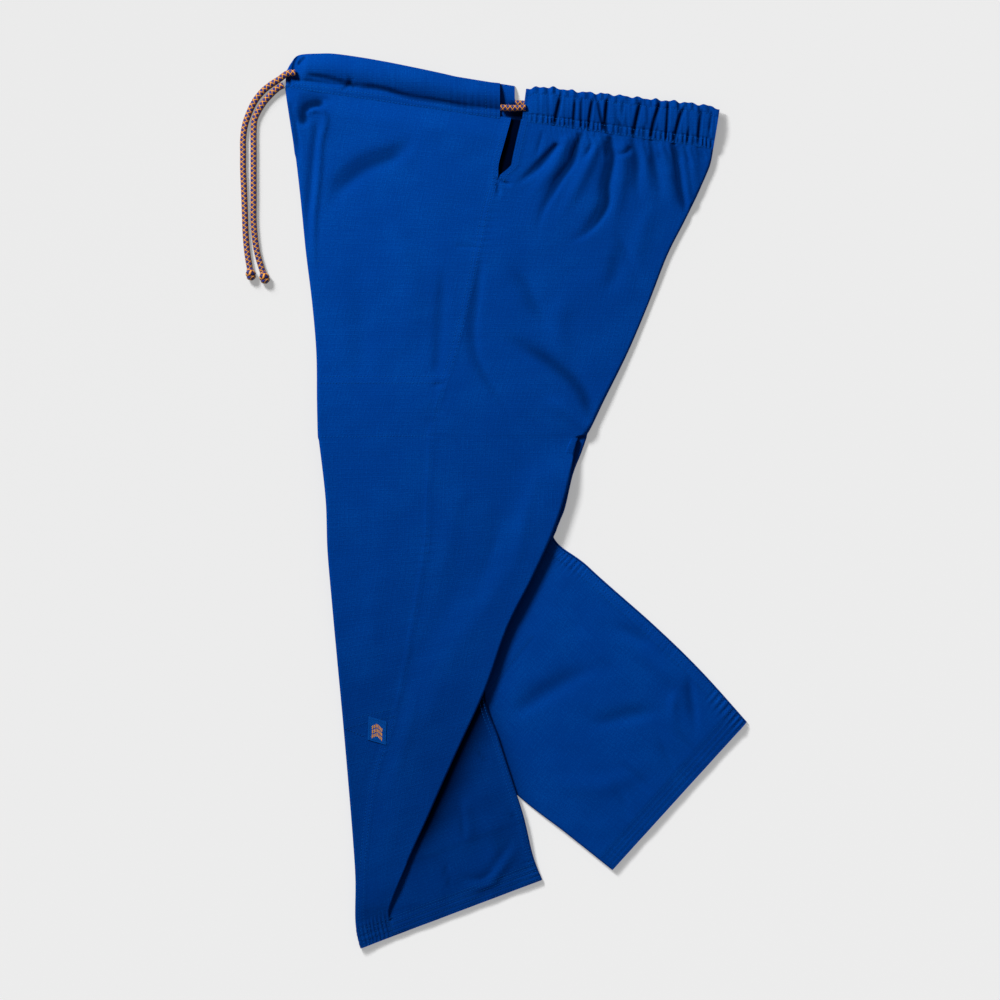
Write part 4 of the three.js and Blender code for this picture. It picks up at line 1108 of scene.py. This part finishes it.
def near_back_path(row, outer, bend, back, bend2, tuck, hem_turn):
    """Columns of the near back panel: to the back edge, under and back in the pleat, then out again."""
    hip = row.v < NEAR_PLEAT_TOP - 1e-6
    theta = np.radians(row.turn)
    start = row.back - 3
    flat_turn = row.turn > 175
    for _ in range(SETTLE):
        x, y = along(row, start)
        z = near_mid(x, y)
        raised = lift(x, y)
        under = np.where(hip, far_floor(x, y), raised + SECOND_LAYER)
        drop = z - under
        sine = np.maximum(np.sin(theta), 0.05)
        run = np.where(flat_turn, row.depth, np.minimum(row.depth, 0.3 * drop / sine))
        turns = (drop - np.where(flat_turn, 0, run * np.sin(theta))) / (1 - np.cos(theta))
        turn = np.where(hip, drop / 2, mix(turns / 2, turns - PLEAT_TURN, ease((row.turn - 90) / 90)))
        start = row.back - (turn + HALF) * np.where(row.turn >= 90, 1, np.sin(theta))
    s = between(row.seam + row.slit + SEAM_GAP / 2, start, outer)
    x, y = along(row, s)
    z = near_mid(x, y)
    level = z[:, -1] - lift(x[:, -1], y[:, -1])
    columns_s, columns_z = [s], [z]

    def add(s_new, level_new):
        columns_s.append(s_new[:, None])
        columns_z.append((level_new + lift(*along(row, s_new)))[:, None])

    full = np.where(hip, np.pi, theta)
    for k in range(1, bend + 1):
        a = k / bend * full
        add(start + turn * np.sin(a), level - turn * (1 - np.cos(a)))
    here, height = start + turn * np.sin(full), level - turn * (1 - np.cos(full))
    for k in range(1, back + 1):
        passed = k / back * run * ~hip
        add(here + passed * np.cos(theta), height - passed * np.sin(theta))
    here, height = here + run * ~hip * np.cos(theta), height - run * ~hip * np.sin(theta)
    small = (height - SECOND_LAYER) / (1 - np.cos(theta))
    for k in range(1, bend2 + 1):
        a2 = theta * (1 - k / bend2)
        moved = small * (np.sin(theta) - np.sin(a2))
        fall = small * (np.cos(a2) - np.cos(theta))
        add(here + np.where(hip, 0, moved), height - np.where(hip, 0, fall))
    here = here + np.where(hip, 0, small * np.sin(theta))
    wrap = row.inseam - HALF - PLEAT_TURN
    for k in range(1, tuck + 1):
        s_new = mix(here, wrap, k / tuck)
        x_new, y_new = along(row, s_new)
        free = ease((s_new - row.back + 4) / 14) * ease((wrap - s_new) / 12)
        bumps = creases(TUCK_CREASES, x_new, y_new, 3.0)
        bumps = bumps + 0.45 * ease((s_new - row.back) / 25) * ripple(x_new, y_new, 38, 8)
        add(s_new, SECOND_LAYER + (higher(bumps, -0.6) + 0.2) * free)
    for k in range(1, hem_turn + 1):
        a3 = np.pi * k / hem_turn
        add(wrap + PLEAT_TURN * np.sin(a3), SECOND_LAYER - PLEAT_TURN * (1 - np.cos(a3)))
    return np.hstack(columns_s), np.hstack(columns_z), wrap


def near_back():
    """Side seam, round the back edge and the tucked pleat, and out to the inside seam."""
    steps = 100, 8, 4, 5, 30, 6
    outer, bend, back, bend2, tuck, hem_turn = steps
    v = joined_rows(NEAR, [
        (0, SLIT_ROW, 1.9), (SLIT_ROW, 6, 2.4), (6, NEAR_PLEAT_TOP, 3.0), (NEAR_PLEAT_TOP, HEM_ROW, 3.2),
        (HEM_ROW, NEAR.last, 1.4),
    ])
    row = NEAR.at(v)
    s, z, wrap = near_back_path(row, *steps)
    mid = grid(row, s, z)
    number = np.arange(s.shape[1])[None]
    hem = to_end(v, NEAR, lambda r: along(r, (r.seam + r.inseam) / 2))[:, None]
    swell = hem_swell(s, hem, 6)
    beside = np.where(number <= outer, s - (row.seam + row.slit)[:, None], NOT_BESIDE)
    facing = ease((4.3 - row.v[:, None]) / 0.3)
    down_seam = to_end(v, NEAR, lambda r: along(r, r.seam))[:, None]
    swell = swell + mix(SEAM_RAISE * ease((4 - beside) / 4), SLIT_RAISE * ease((9.5 - beside) / 1.5), facing)
    swell = swell + SEAM_PUCKER * pucker(down_seam, beside / 1.5, 8, 2) * (1 - facing)
    tucked = number > outer + bend + back + bend2
    from_inseam = np.where(tucked, wrap[:, None] - s, NOT_BESIDE)
    strip = ease(7.0 - from_inseam)
    swell = swell + NEAR_STRIP_RAISE * strip
    swell = swell + NEAR_STRIP_PUCKER * pucker(hem, np.maximum(0, from_inseam - 4), 6, 7)
    below = below_waist(mid[..., 0], mid[..., 1])
    gathered = ease((mid[..., 0] - 20) / 30)
    gathered = gathered * ease(below / 3) * (number <= outer)
    swell = swell + REAR_PUCKER * pucker(s, below / 2.3, 7.2, 9) * gathered
    swell = swell * (number < s.shape[1] - hem_turn)
    x, y = under_casing(mid)
    # Painted shadow beside the pleat's fold, painted shade in folds, tucks and hem rows, and the near side's
    # painted light and shade make up the tone.
    from_fold = np.maximum(0, s - row.back[:, None])
    pocket_painted_shadow = POCKET_SHADE * np.exp(-((from_fold / 28) ** 2)) * ease((row.depth[:, None] - 6) / 25)
    folds = fold_shade(NEAR_CREASES, x, y, *NEAR_SHADE)
    tucks = fold_shade(TUCK_CREASES, x, y, *TUCK_SHADE)
    tone = (hem_tone_and_shade(hem) + 0.12 * strip) * leg_light_and_shade(x, y) * np.where(tucked, (1 - pocket_painted_shadow) * tucks, folds)
    panel = Panel(mid, swell=swell, tone=tone)
    panel.rows, panel.edge, panel.wrap = v, outer, outer + bend + back + bend2 + tuck
    keep = kept(v, s.shape[1], NEAR_PLEAT_TOP, outer + bend // 2)
    return panel.build("near_back_cloth", "near_back_panel", keep)


def slit_shade(x, y):
    """Painted shade on the far side's cloth where it is seen deep inside the side slit."""
    inside = ease((x + 42) / 12) * ease((26 - x) / 10) * ease((y - 352) / 14)
    return 1 - SLIT_SHADE * inside


def far_rows():
    """Fractional rows of the far side, and whether each is at the hip."""
    hem = FAR.last - 0.7
    v = joined_rows(FAR, [(0, FAR_LEG_TOP, 5.0), (FAR_LEG_TOP, hem, 3.0), (hem, FAR.last, 1.2)])
    return v, v < FAR_LEG_TOP - 1e-6


def far_bend(hip, turn, steps):
    """Steps of the far side's curl round an edge: how far out and how far up each one is."""
    a = np.radians(np.where(hip, HIP_CURL, 180))[:, None] * (np.arange(1, steps + 1) / steps)[None]
    return turn[:, None] * np.sin(a), turn[:, None] * (1 - np.cos(a))


def far_front():
    """Lies on the surface, then turns up at the leg's front edge and over to the inside seam."""
    floor, bend, inner = 14, 8, 88
    v, hip = far_rows()
    row = FAR.at(v)
    start = np.full(len(v), EDGE_START)
    for _ in range(SETTLE):
        x, y = along(row, start)
        above = np.where(hip, near_mid(x, y), far_top(x, y) + FAR_EDGE_LOFT)
        turn = (above - far_floor(x, y)) / 2
        start = turn + HALF
    s_floor = between(row.seam - SEAM_GAP / 2, start, floor)
    z_floor = far_floor(*along(row, s_floor))
    out, rise = far_bend(hip, turn, bend)
    end = row.back - HALF - (FAR_LAYER - FLOOR_LAYER) / 2 - SEAM_ROOM
    s_inner = between(start, end, inner, 1)
    seam = ease((end[:, None] - s_inner) / 8)
    top = far_top(*along(row, s_inner)) + FAR_EDGE_LOFT * np.exp(-s_inner / 10)
    s = np.hstack([s_floor, start[:, None] - out, s_inner])
    mid = grid(row, s, np.hstack([z_floor, z_floor[:, -1:] + rise, mix(FAR_LAYER, top, seam)]))
    hem = to_end(v, FAR, lambda r: along(r, r.back / 2))[:, None]
    number = np.arange(s.shape[1])[None]
    upper = number > floor + bend
    from_inseam = np.where(upper, end[:, None] - s, NOT_BESIDE)
    strip = ease((13 - from_inseam) / 1.2)
    swell = hem_swell(s, hem, 12) * upper + FAR_STRIP_RAISE * strip
    swell = swell + FAR_STRIP_PUCKER * pucker(hem, np.maximum(0, from_inseam - 9), 6.4, 13)
    tone = np.where(upper, hem_tone_and_shade(hem), 1) + 0.05 * strip
    x, y = mid[..., 0], mid[..., 1]
    # Painted shadow of the near leg along its rim, painted light over the far leg, and painted shade in its
    # folds and deep in the slit.
    near_leg_painted_shadow = 1 - 0.3 * np.exp(-np.maximum(0, side_of(NEAR_RIM, x, y)) / 12)
    shade = FAR_PAINTED_LIGHT * near_leg_painted_shadow * fold_shade(FAR_CREASES, x, y, *FAR_SHADE)
    shade = np.where(number <= floor, slit_shade(x, y), shade)
    under_casing(mid)
    panel = Panel(mid, swell=swell, tone=tone * shade, up=False)
    panel.rows, panel.edge = v, floor + bend
    keep = kept(v, s.shape[1], FAR_LEG_TOP, floor + bend // 2)
    return panel.build("far_front_cloth", "far_front_panel", keep)


def far_back():
    """Lies on the surface and curls up round the inside seam, or up to the seat seam."""
    floor, bend = 14, 8
    v, hip = far_rows()
    row = FAR.at(v)
    turn = np.full(len(v), (FAR_LAYER - FLOOR_LAYER) / 2)
    start = row.back - 3
    for _ in range(SETTLE):
        x, y = along(row, start)
        turn = np.where(hip, (near_mid(x, y) - far_floor(x, y)) / 2, turn)
        start = row.back - turn - HALF
    s_floor = between(row.seam + row.slit + SEAM_GAP / 2, start, floor)
    z_floor = far_floor(*along(row, s_floor))
    out, rise = far_bend(hip, turn, bend)
    s = np.hstack([s_floor, start[:, None] + out])
    mid = grid(row, s, np.hstack([z_floor, z_floor[:, -1:] + rise]))
    x, y = under_casing(mid)
    # Painted shade deep inside the side slit.
    panel = Panel(mid, tone=slit_shade(x, y), up=False)
    keep = kept(v, s.shape[1], FAR_LEG_TOP, floor + bend // 2)
    return panel.build("far_back_cloth", "far_back_panel", keep)


def casing(name, node, table, stations, across, under, over, tone, ruffle=0.0, ends=(0, 0), slant=(0, 1)):
    """A casing between two edges, its lower and upper faces at the heights that under and over give.

    They are told the share along it, u, the share from its upper edge to its lower one, w, the place in
    plan, and over is told also how full the casing is towards its rims.
    """
    u, w = np.meshgrid(np.linspace(0, 1, stations + 1), np.linspace(0, 1, across + 1), indexing="ij")
    row = table.at(u[:, 0] * table.last)
    scallop = ruffle * (np.sin(row.x / 3.1) + 0.7 * np.sin(row.x / 1.7 + 1)) * ease(u[:, 0] / 0.06)
    start = ease((row.x[0] + 30 - row.x) / 30)
    end = ease((row.x - row.x[-1] + 30) / 30)
    x = row.x[:, None] - np.clip((w - slant[0]) / slant[1], 0, 1) * (ends[0] * start + ends[1] * end)[:, None]
    y = mix((row.top + scallop)[:, None], (row.low + SEAM_GAP)[:, None], w)
    rim = np.sqrt(np.clip(np.minimum(w, 1 - w) * 6, 0, 1))
    low = np.broadcast_to(under(u, w, x, y), x.shape)
    high = np.maximum(over(u, w, x, y, rim), low + 0.06)
    top = np.stack([x, y, high], 2)
    face = Face(top, normals(top))
    place = np.stack([x, y, tone(x, y)], 2)
    face.piece = stand_for(solid(name, top, np.stack([x, y, low], 2), place, CLOTH_BLUE), node)
    return face


def cord_ridge(w, x):
    """Height of the cord inside a casing: a ridge along its upper two thirds."""
    return np.sin(np.pi * np.clip(w / 0.74, 0, 1)) ** 0.8 * ease((x + 252) / 14)


def casings():
    """The four casings of the waist: near front, near rear, far front and far rear."""

    def far_front_over(u, w, x, y, rim):
        return CASING * mix(0.6, 1, rim) + FAR_CORD_RIDGE * cord_ridge(w, x)

    def lap(w):
        return ease((w - 0.88) / 0.05)

    def near_under(u, w, x, y):
        usual = CASING + LAYER_REST + FAR_CORD_RIDGE * cord_ridge(w, x)
        return mix(usual, NEAR_FOOT[0] + HALF + 0.08, lap(w))

    def near_front_over(u, w, x, y, rim):
        usual = CASING + LAYER_REST + FAR_CORD_RIDGE * cord_ridge(w, x)
        flat = usual + CASING * mix(0.5, 1, rim) + CORD_RIDGE * cord_ridge(w, x)
        flat = mix(flat, NEAR_FOOT[0] + HALF + 0.9 - 0.75 * ease((w - 0.9) / 0.1), ease((w - 0.74) / 0.16))
        flat = flat + creases(FRONT_BAND_CREASES, x, y) + 0.22 * ripple(x, y, 24, 21)
        return flat + 0.24 * pucker(x, np.maximum(0, (0.72 - w) * 20), 6.5, 4)

    def far_rear_over(u, w, x, y, rim):
        return FAR_REAR_CASING * mix(0.5, 1, rim) * (0.93 + 0.07 * np.sin(x / 2.2))

    def near_rear_under(u, w, x, y):
        return mix(FAR_REAR_CASING + LAYER_REST, NEAR_FOOT[1] + HALF + 0.08, lap(w))

    def near_rear_over(u, w, x, y, rim):
        full = ease((u - 0.03) / 0.1) ** 0.5
        barrel = FAR_REAR_CASING + LAYER_REST + REAR_CASING * mix(0.45, 1, rim) * mix(0.75, 1, full)
        sewn = ease((w - 0.72) / 0.08)
        header = ease((0.21 - w) / 0.08)
        belly = 1.6 * np.sin(np.pi * np.clip((w - 0.2) / 0.56, 0, 1)) ** 0.7 * full
        gathers = 0.5 * ripple(x, y * 0.12, 8, 31) * (1 - 0.5 * sewn) * full
        shirred = 0.75 * np.sin(x / 0.86 + 1.6 * np.sin(x / 7) + 0.8 * np.sin(x / 3.1)) * sewn * full
        frilled = 0.8 * np.sin(x / 1.5 + 1.4 * np.sin(x / 8)) * header * full
        rows = -0.45 * (np.exp(-(((w - 0.2) / 0.022) ** 2)) + np.exp(-(((w - 0.77) / 0.022) ** 2))) * full
        folds = creases(REAR_BAND_CREASES, x, y) * full**0.5 * 1.25
        shape = barrel - 0.5 * sewn + belly + gathers + shirred + frilled + rows + folds
        return mix(shape, NEAR_FOOT[1] + HALF + 0.2, ease((w - 0.93) / 0.07))

    def surface(u, w, x, y):
        return 0.0

    # Painted shade on the far casings where they are seen deep inside the side slit.
    def inside(x, y):
        return 1 - 0.85 * ease((x + 12) / 10) * ease((461 - 0.15 * x - y) / 6)

    # Painted shade in the casings' creases, and a little over the whole near front casing.
    def front_band_painted_shade(x, y):
        return 0.95 * fold_shade(FRONT_BAND_CREASES, x, y, *FRONT_BAND_SHADE)

    def rear_band_painted_shade(x, y):
        return fold_shade(REAR_BAND_CREASES, x, y, *REAR_BAND_SHADE)

    far_front = casing(
        "far_front_band", "far_front_waistband", FAR_FRONT_WAIST, 90, 14, surface, far_front_over,
        inside, ends=(0, -10), slant=(0.42, 0.14),
    )
    far_rear = casing(
        "far_rear_band", "far_back_waistband", FAR_BACK_WAIST, 150, 12, surface, far_rear_over,
        inside, ends=(5, 9),
    )
    front = casing(
        "near_front_band", "near_front_waistband", NEAR_FRONT_WAIST, 190, 40, near_under, near_front_over,
        front_band_painted_shade,
    )
    rear = casing(
        "near_rear_band", "near_back_waistband", NEAR_BACK_WAIST, 300, 44, near_rear_under, near_rear_over,
        rear_band_painted_shade, ruffle=0.9, ends=(5, 7.5),
    )
    return front, rear, far_front, far_rear


def knee_patch(name, node, panel, rows, cols):
    """A second layer of cloth sewn on a panel's outer face, over some of its rows and columns."""
    part = np.s_[rows[0]:rows[1] + 1, cols[0]:cols[1] + 1]
    base, facing = panel.over[part], panel.normal[part]
    height, width = base.shape[:2]
    i, j = np.meshgrid(np.arange(height), np.arange(width), indexing="ij")
    edge = np.minimum(np.minimum(i, height - 1 - i), np.minimum(j, width - 1 - j))
    thick = (0.05 + (PATCH_CLOTH - 0.05) * ease(edge / 3))[..., None]
    patch = Face(base + facing * (0.02 + thick), facing)
    made = solid(name, patch.over, base + facing * 0.01, panel.place[part], CLOTH_BLUE)
    patch.piece = stand_for(made, node)
    return patch


def gusset():
    """The gusset's folded edge behind the near thigh."""
    flat, bend = 6, 8
    v = np.linspace(0, GUSSET.last, 33)
    row = GUSSET.at(v)
    turn = (GUSSET_LEVEL - FLOOR_LAYER) / 2
    start = row.x - turn - HALF
    columns = [mix(row.inner, start, k / flat) for k in range(flat + 1)]
    heights = [np.full(len(v), GUSSET_LEVEL)] * (flat + 1)
    for k in range(1, bend + 1):
        a = np.pi * k / bend
        columns.append(start + turn * np.sin(a))
        heights.append(np.full(len(v), GUSSET_LEVEL - turn * (1 - np.cos(a))))
    columns.append(start - 2)
    heights.append(np.full(len(v), GUSSET_LEVEL - 2 * turn))
    x = np.stack(columns, 1)
    mid = np.stack([x, np.broadcast_to(row.y[:, None], x.shape), np.stack(heights, 1)], 2)
    swell = GUSSET_PUCKER * pucker(row.y[:, None], np.zeros_like(x), 8, 3)
    return Panel(mid, swell=swell).build("gusset_cloth", "crotch_gusset")


def label(patch_top):
    """A small plain woven label over the lower edge of the knee patch, with a motif of three chevrons."""
    share = np.arange(LABEL_CELLS + 1) / LABEL_CELLS
    i, j = np.meshgrid(share, share, indexing="ij")
    x = LABEL_CORNER[0] + LABEL_ACROSS[0] * j + LABEL_DOWN[0] * i
    y = LABEL_CORNER[1] + LABEL_ACROSS[1] * j + LABEL_DOWN[1] * i
    z = near_mid(x, y) + HALF + patch_top
    panel = Panel(np.stack([x, y, z], 2), thickness=0.5, out=0.25)
    return panel.build("woven_label", "shin_label", material=LABEL_CLOTH, slot="label")


def read_at(values, total, place):
    """Values along a line, at a distance from its start."""
    return np.array([np.interp(place, total, values[:, k]) for k in range(3)])


def stitches(
    name, lines, width=THREAD, stitch=STITCH, gap=STITCH_GAP, material=THREAD_MATERIAL
):
    """One mesh of stitches along lines, each given as points and normals."""
    sides, rings = 5, ((-0.5, 0.45), (0.0, 1.0), (0.5, 0.45))
    turn = 2 * np.pi * np.arange(sides) / sides
    points, faces, place = [], [], []
    pattern = [(k, (k + 1) % sides, sides + (k + 1) % sides, sides + k) for k in range(sides)]
    pattern += [tuple(sides + n for n in f) for f in pattern]
    caps = [tuple(range(sides))[::-1], tuple(2 * sides + k for k in range(sides))]
    for line, facing in lines:
        total = lengths(line)
        count = int(total[-1] // (stitch + gap))
        if count < 1:
            continue
        centre_at = (np.arange(count) + 0.5) * total[-1] / count
        for at in centre_at:
            ends = [read_at(line, total, at + d * stitch) for d in (-0.5, 0.5)]
            up = read_at(facing, total, at)
            ahead = ends[1] - ends[0]
            ahead /= max(np.linalg.norm(ahead), 1e-9)
            side = np.cross(up, ahead)
            side /= max(np.linalg.norm(side), 1e-9)
            first = len(points)
            for offset, size in rings:
                centre = mix(ends[0], ends[1], offset + 0.5) + up * (0.12 if offset == 0 else -0.06)
                for a in turn:
                    points.append(centre + (side * np.cos(a) + up * np.sin(a) * 0.7) * width / 2 * size)
                    place.append((at + offset * stitch, a, 1))
            faces += [tuple(first + n for n in f) for f in pattern + caps]
    made = build(name, np.array(points), [f[::-1] for f in faces], material, place)
    return made


def column_line(panel, j, first, last, above=0.05):
    """A line down a panel at a column, or at a column for each row."""
    i = np.arange(first, last + 1, dtype=float)
    return panel.sample(i, np.broadcast_to(j, i.shape).astype(float), above)


def row_line(panel, i, first, last, above=0.05):
    """A line across a panel at a row."""
    j = np.arange(first, last + 1, dtype=float)
    return panel.sample(np.full(j.shape, float(i)), j, above)


def rows_from_end(panel, column, distances):
    """The fractional rows at these distances up from a panel's last row."""
    total = lengths(panel.over[:, column])
    return [np.interp(total[-1] - d, total, np.arange(len(total))) for d in distances]


def column_beside(panel, from_column, to_column, distance):
    """For each row, the fractional column at a distance from a column towards another."""
    step = 1 if to_column > from_column else -1
    columns = np.arange(from_column, to_column + step, step)
    found = []
    for line in panel.over[:, columns]:
        found.append(np.interp(distance, lengths(line), columns))
    return np.array(found)


def on_near(line):
    """Points of a plan line on the near outer face, with upward normals."""
    height = near_mid(line[:, 0], line[:, 1]) + HALF + 0.3
    return np.column_stack([line, height]), np.tile((0.0, 0.0, 1.0), (len(line), 1))


def row_near(panel, place):
    """The first row of a panel at or below a place in its table of sections."""
    return int(np.searchsorted(panel.rows, place))


def seam_lines(panel, edge, towards, distances, first, last):
    """Lines down some rows of a panel, at distances from one column towards another."""
    return [
        column_line(panel, column_beside(panel, edge, towards, d)[first:last + 1], first, last)
        for d in distances
    ]


def hem_lines(panel, measured, first, last):
    """Lines across a panel's hem, at rows measured down one of its columns."""
    return [row_line(panel, i, first, last) for i in rows_from_end(panel, measured, HEM_ROWS)]


def hem_stitches(front, back, far):
    """The hems of both legs."""
    near = hem_lines(front, front.edge // 2, 0, front.edge + 2)
    near += hem_lines(back, back.wrap - 10, 0, back.wrap)
    near_hem = stitches("near_hem_stitches", near)
    over = hem_lines(far, far.last_column - 40, far.edge, far.last_column)
    return near_hem, stitches("far_hem_stitches", over)


def side_stitches(front, back):
    """The side seam, and both edges of the slit with the tack at its foot."""
    front_slit, back_slit = row_near(front, SLIT_ROW), row_near(back, SLIT_ROW)
    seam = seam_lines(front, 0, front.edge, SIDE_ROWS, front_slit, front.last_row)
    side_rows = stitches("side_seam_stitches", seam)
    slit = seam_lines(front, 0, front.edge, FRONT_SLIT_ROWS, 0, front_slit)
    slit += seam_lines(back, 0, back.edge, BACK_SLIT_ROWS, 0, back_slit)
    for down in SLIT_TACK_STEPS:
        slit.append(on_near(even_line([(x, y - down) for x, y in SLIT_TACK], TACK_STEP)))
    return side_rows, stitches("slit_stitches", slit)


def inside_stitches(back, far):
    """The inside seams of both legs."""
    last = far.last_column
    top = row_near(far, FAR_INSIDE_TOP)
    lines = seam_lines(far, last, far.edge, FAR_INSIDE_ROWS, top, far.last_row)
    top = row_near(back, NEAR_INSIDE_TOP)
    lines += seam_lines(back, back.wrap, back.edge + 20, NEAR_INSIDE_ROWS, top, back.last_row)
    return stitches("inside_seam_stitches", lines)


def waist_stitches(front, rear):
    """The rows of stitches along the near casings, and across their ends at the slit."""
    lines = [column_line(front, front.last_column * w, 2, front.last_row) for w in FRONT_CASING_ROWS]
    lines += [column_line(rear, rear.last_column * w, 0, rear.last_row) for w in REAR_CASING_ROWS]
    lines.append(row_line(front, front.last_row - 13, front.last_column * 0.12, front.last_column * 0.97))
    lines.append(row_line(rear, 5, rear.last_column * 0.2, rear.last_column * 0.97))
    return stitches("waist_stitches", lines)


def patch_stitches(patch, far_patch, middle, width):
    """The rows of stitches across both knee patches, and the tack at the front edge."""
    last = patch.last_row
    lines = [row_line(patch, i, 3, width) for i in (1, 4, middle, last - 4, last - 1)]
    lines.append(on_near(even_line(PATCH_TACK, TACK_STEP)))
    lines += [row_line(far_patch, i, 1, 44) for i in (1, far_patch.last_row - 1)]
    return stitches("knee_patch_stitches", lines)


def label_stitches(label):
    """The stitches round the label."""
    near, far = LABEL_INSET, LABEL_CELLS - LABEL_INSET
    border = [row_line(label, i, near, far) for i in (near, far)]
    border += [column_line(label, j, int(near), int(far)) for j in (near, far)]
    return stitches("label_stitches", border, 0.45, 1.5, 0.6)


def label_motif(label):
    """Three chevrons woven on the label, each of eight threads."""
    lines = []
    for k in range(3):
        peak = LABEL_CELLS * (0.22 + 0.19 * k)
        for thread in range(8):
            drop = peak + 0.26 * thread
            i = np.array([drop + LABEL_CELLS * 0.16, drop, drop + LABEL_CELLS * 0.16])
            j = np.array([0.2, 0.5, 0.8]) * LABEL_CELLS
            for half in (slice(0, 2), slice(1, 3)):
                lines.append(label.sample(np.linspace(*i[half], 8), np.linspace(*j[half], 8), 0.03))
    return stitches("label_motif", lines, 0.42, 1.6, 0.15, MOTIF_MATERIAL)


def main():
    """The cloth pieces, their stitches, and a list of each piece as cut cloth."""
    front, back, far, far_rear = near_front(), near_back(), far_front(), far_back()
    band, rear_band, far_band, far_rear_band = casings()
    seat = gusset()

    rows = [row_near(front, place) for place in NEAR_PATCH_ROWS]
    patch = knee_patch("near_knee_cloth", "near_knee_patch", front, rows, (0, front.edge + 3))
    middle = row_near(front, NEAR_PATCH_MIDDLE) - rows[0]
    rows = [row_near(far, place) for place in FAR_PATCH_ROWS]
    far_patch = knee_patch("far_knee_cloth", "far_knee_patch", far, rows, (far.edge + 8, far.edge + 53))
    tag = label(PATCH_CLOTH + 0.05)

    near_hem, far_hem = hem_stitches(front, back, far)
    side_rows, slit_rows = side_stitches(front, back)
    inside_rows = inside_stitches(back, far)
    waist_rows = waist_stitches(band, rear_band)
    patch_rows = patch_stitches(patch, far_patch, middle, front.edge)
    tag_rows, motif = label_stitches(tag), label_motif(tag)

    # Each piece of cloth: how it is held, the flat size and the area of what is built, in metres,
    # the pieces that it lies on, and the pieces that go with it.
    cuts = [
        (front, "laid", (0.42, 1.02), 0.243, [back, far], [near_hem, side_rows, slit_rows]),
        (back, "folded", (0.36, 1.00), 0.188, [far], []),
        (far, "laid", (0.44, 0.98), 0.265, [], [far_hem, inside_rows]),
        (far_rear, "laid", (0.24, 0.98), 0.129, [], []),
        (patch, "laid", (0.15, 0.42), 0.042, [front], [patch_rows]),
        (far_patch, "laid", (0.125, 0.165), 0.0155, [far], []),
        (seat, "folded", (0.05, 0.10), 0.0030, [], []),
        (tag, "laid", (0.022, 0.027), 0.00058, [patch], [tag_rows, motif]),
        (band, "laid", (0.05, 0.25), 0.0115, [far_band], [waist_rows]),
        (far_band, "laid", (0.05, 0.265), 0.0125, [], []),
        (rear_band, "gathered", (0.05, 0.28), 0.0135, [far_rear_band], []),
        (far_rear_band, "gathered", (0.05, 0.28), 0.0135, [], []),
    ]
    for cloth, held, flat, area, below, pieces in cuts:
        below = [other.piece for other in below]


def floor():
    """The plain surface that the garment lies on."""
    w = FLOOR_HALF_WIDTH
    mesh = bpy.data.meshes.new("floor")
    mesh.from_pydata([(-w, -w, 0), (w, -w, 0), (w, w, 0), (-w, w, 0)], [], [(0, 1, 2, 3)])
    mesh.materials.append(floor_material())
    made = bpy.data.objects.new("floor", mesh)
    bpy.context.scene.collection.objects.link(made)
    made.location.z = -FLOOR_BELOW


def light():
    """A soft lamp at the upper left, a weak sun from the same side and an even fill."""
    scene = bpy.context.scene
    lamp = bpy.data.lights.new("lamp", "POINT")
    lamp.energy = LAMP_SHARE * LAMP_POWER / LAMP[2]
    lamp.shadow_soft_size = LAMP_RADIUS
    placed = bpy.data.objects.new("lamp", lamp)
    placed.location = LAMP
    scene.collection.objects.link(placed)
    data = bpy.data.lights.new("sun", "SUN")
    towards = Vector((-LAMP[0], -LAMP[1], -LAMP[2]))
    data.energy = SUN_SHARE * math.pi / (LAMP[2] / towards.length)
    data.angle = math.radians(SUN_WIDTH)
    sun = bpy.data.objects.new("sun", data)
    sun.rotation_mode = "QUATERNION"
    sun.rotation_quaternion = towards.to_track_quat("-Z", "Y")
    scene.collection.objects.link(sun)
    world = bpy.data.worlds.new("studio")
    world.use_nodes = True
    world.node_tree.nodes["Background"].inputs[0].default_value = (1, 1, 1, 1)
    world.node_tree.nodes["Background"].inputs[1].default_value = WORLD_SHARE
    scene.world = world
    scene.view_settings.view_transform = "Standard"
    scene.view_settings.look = "None"


main()
floor()
light()
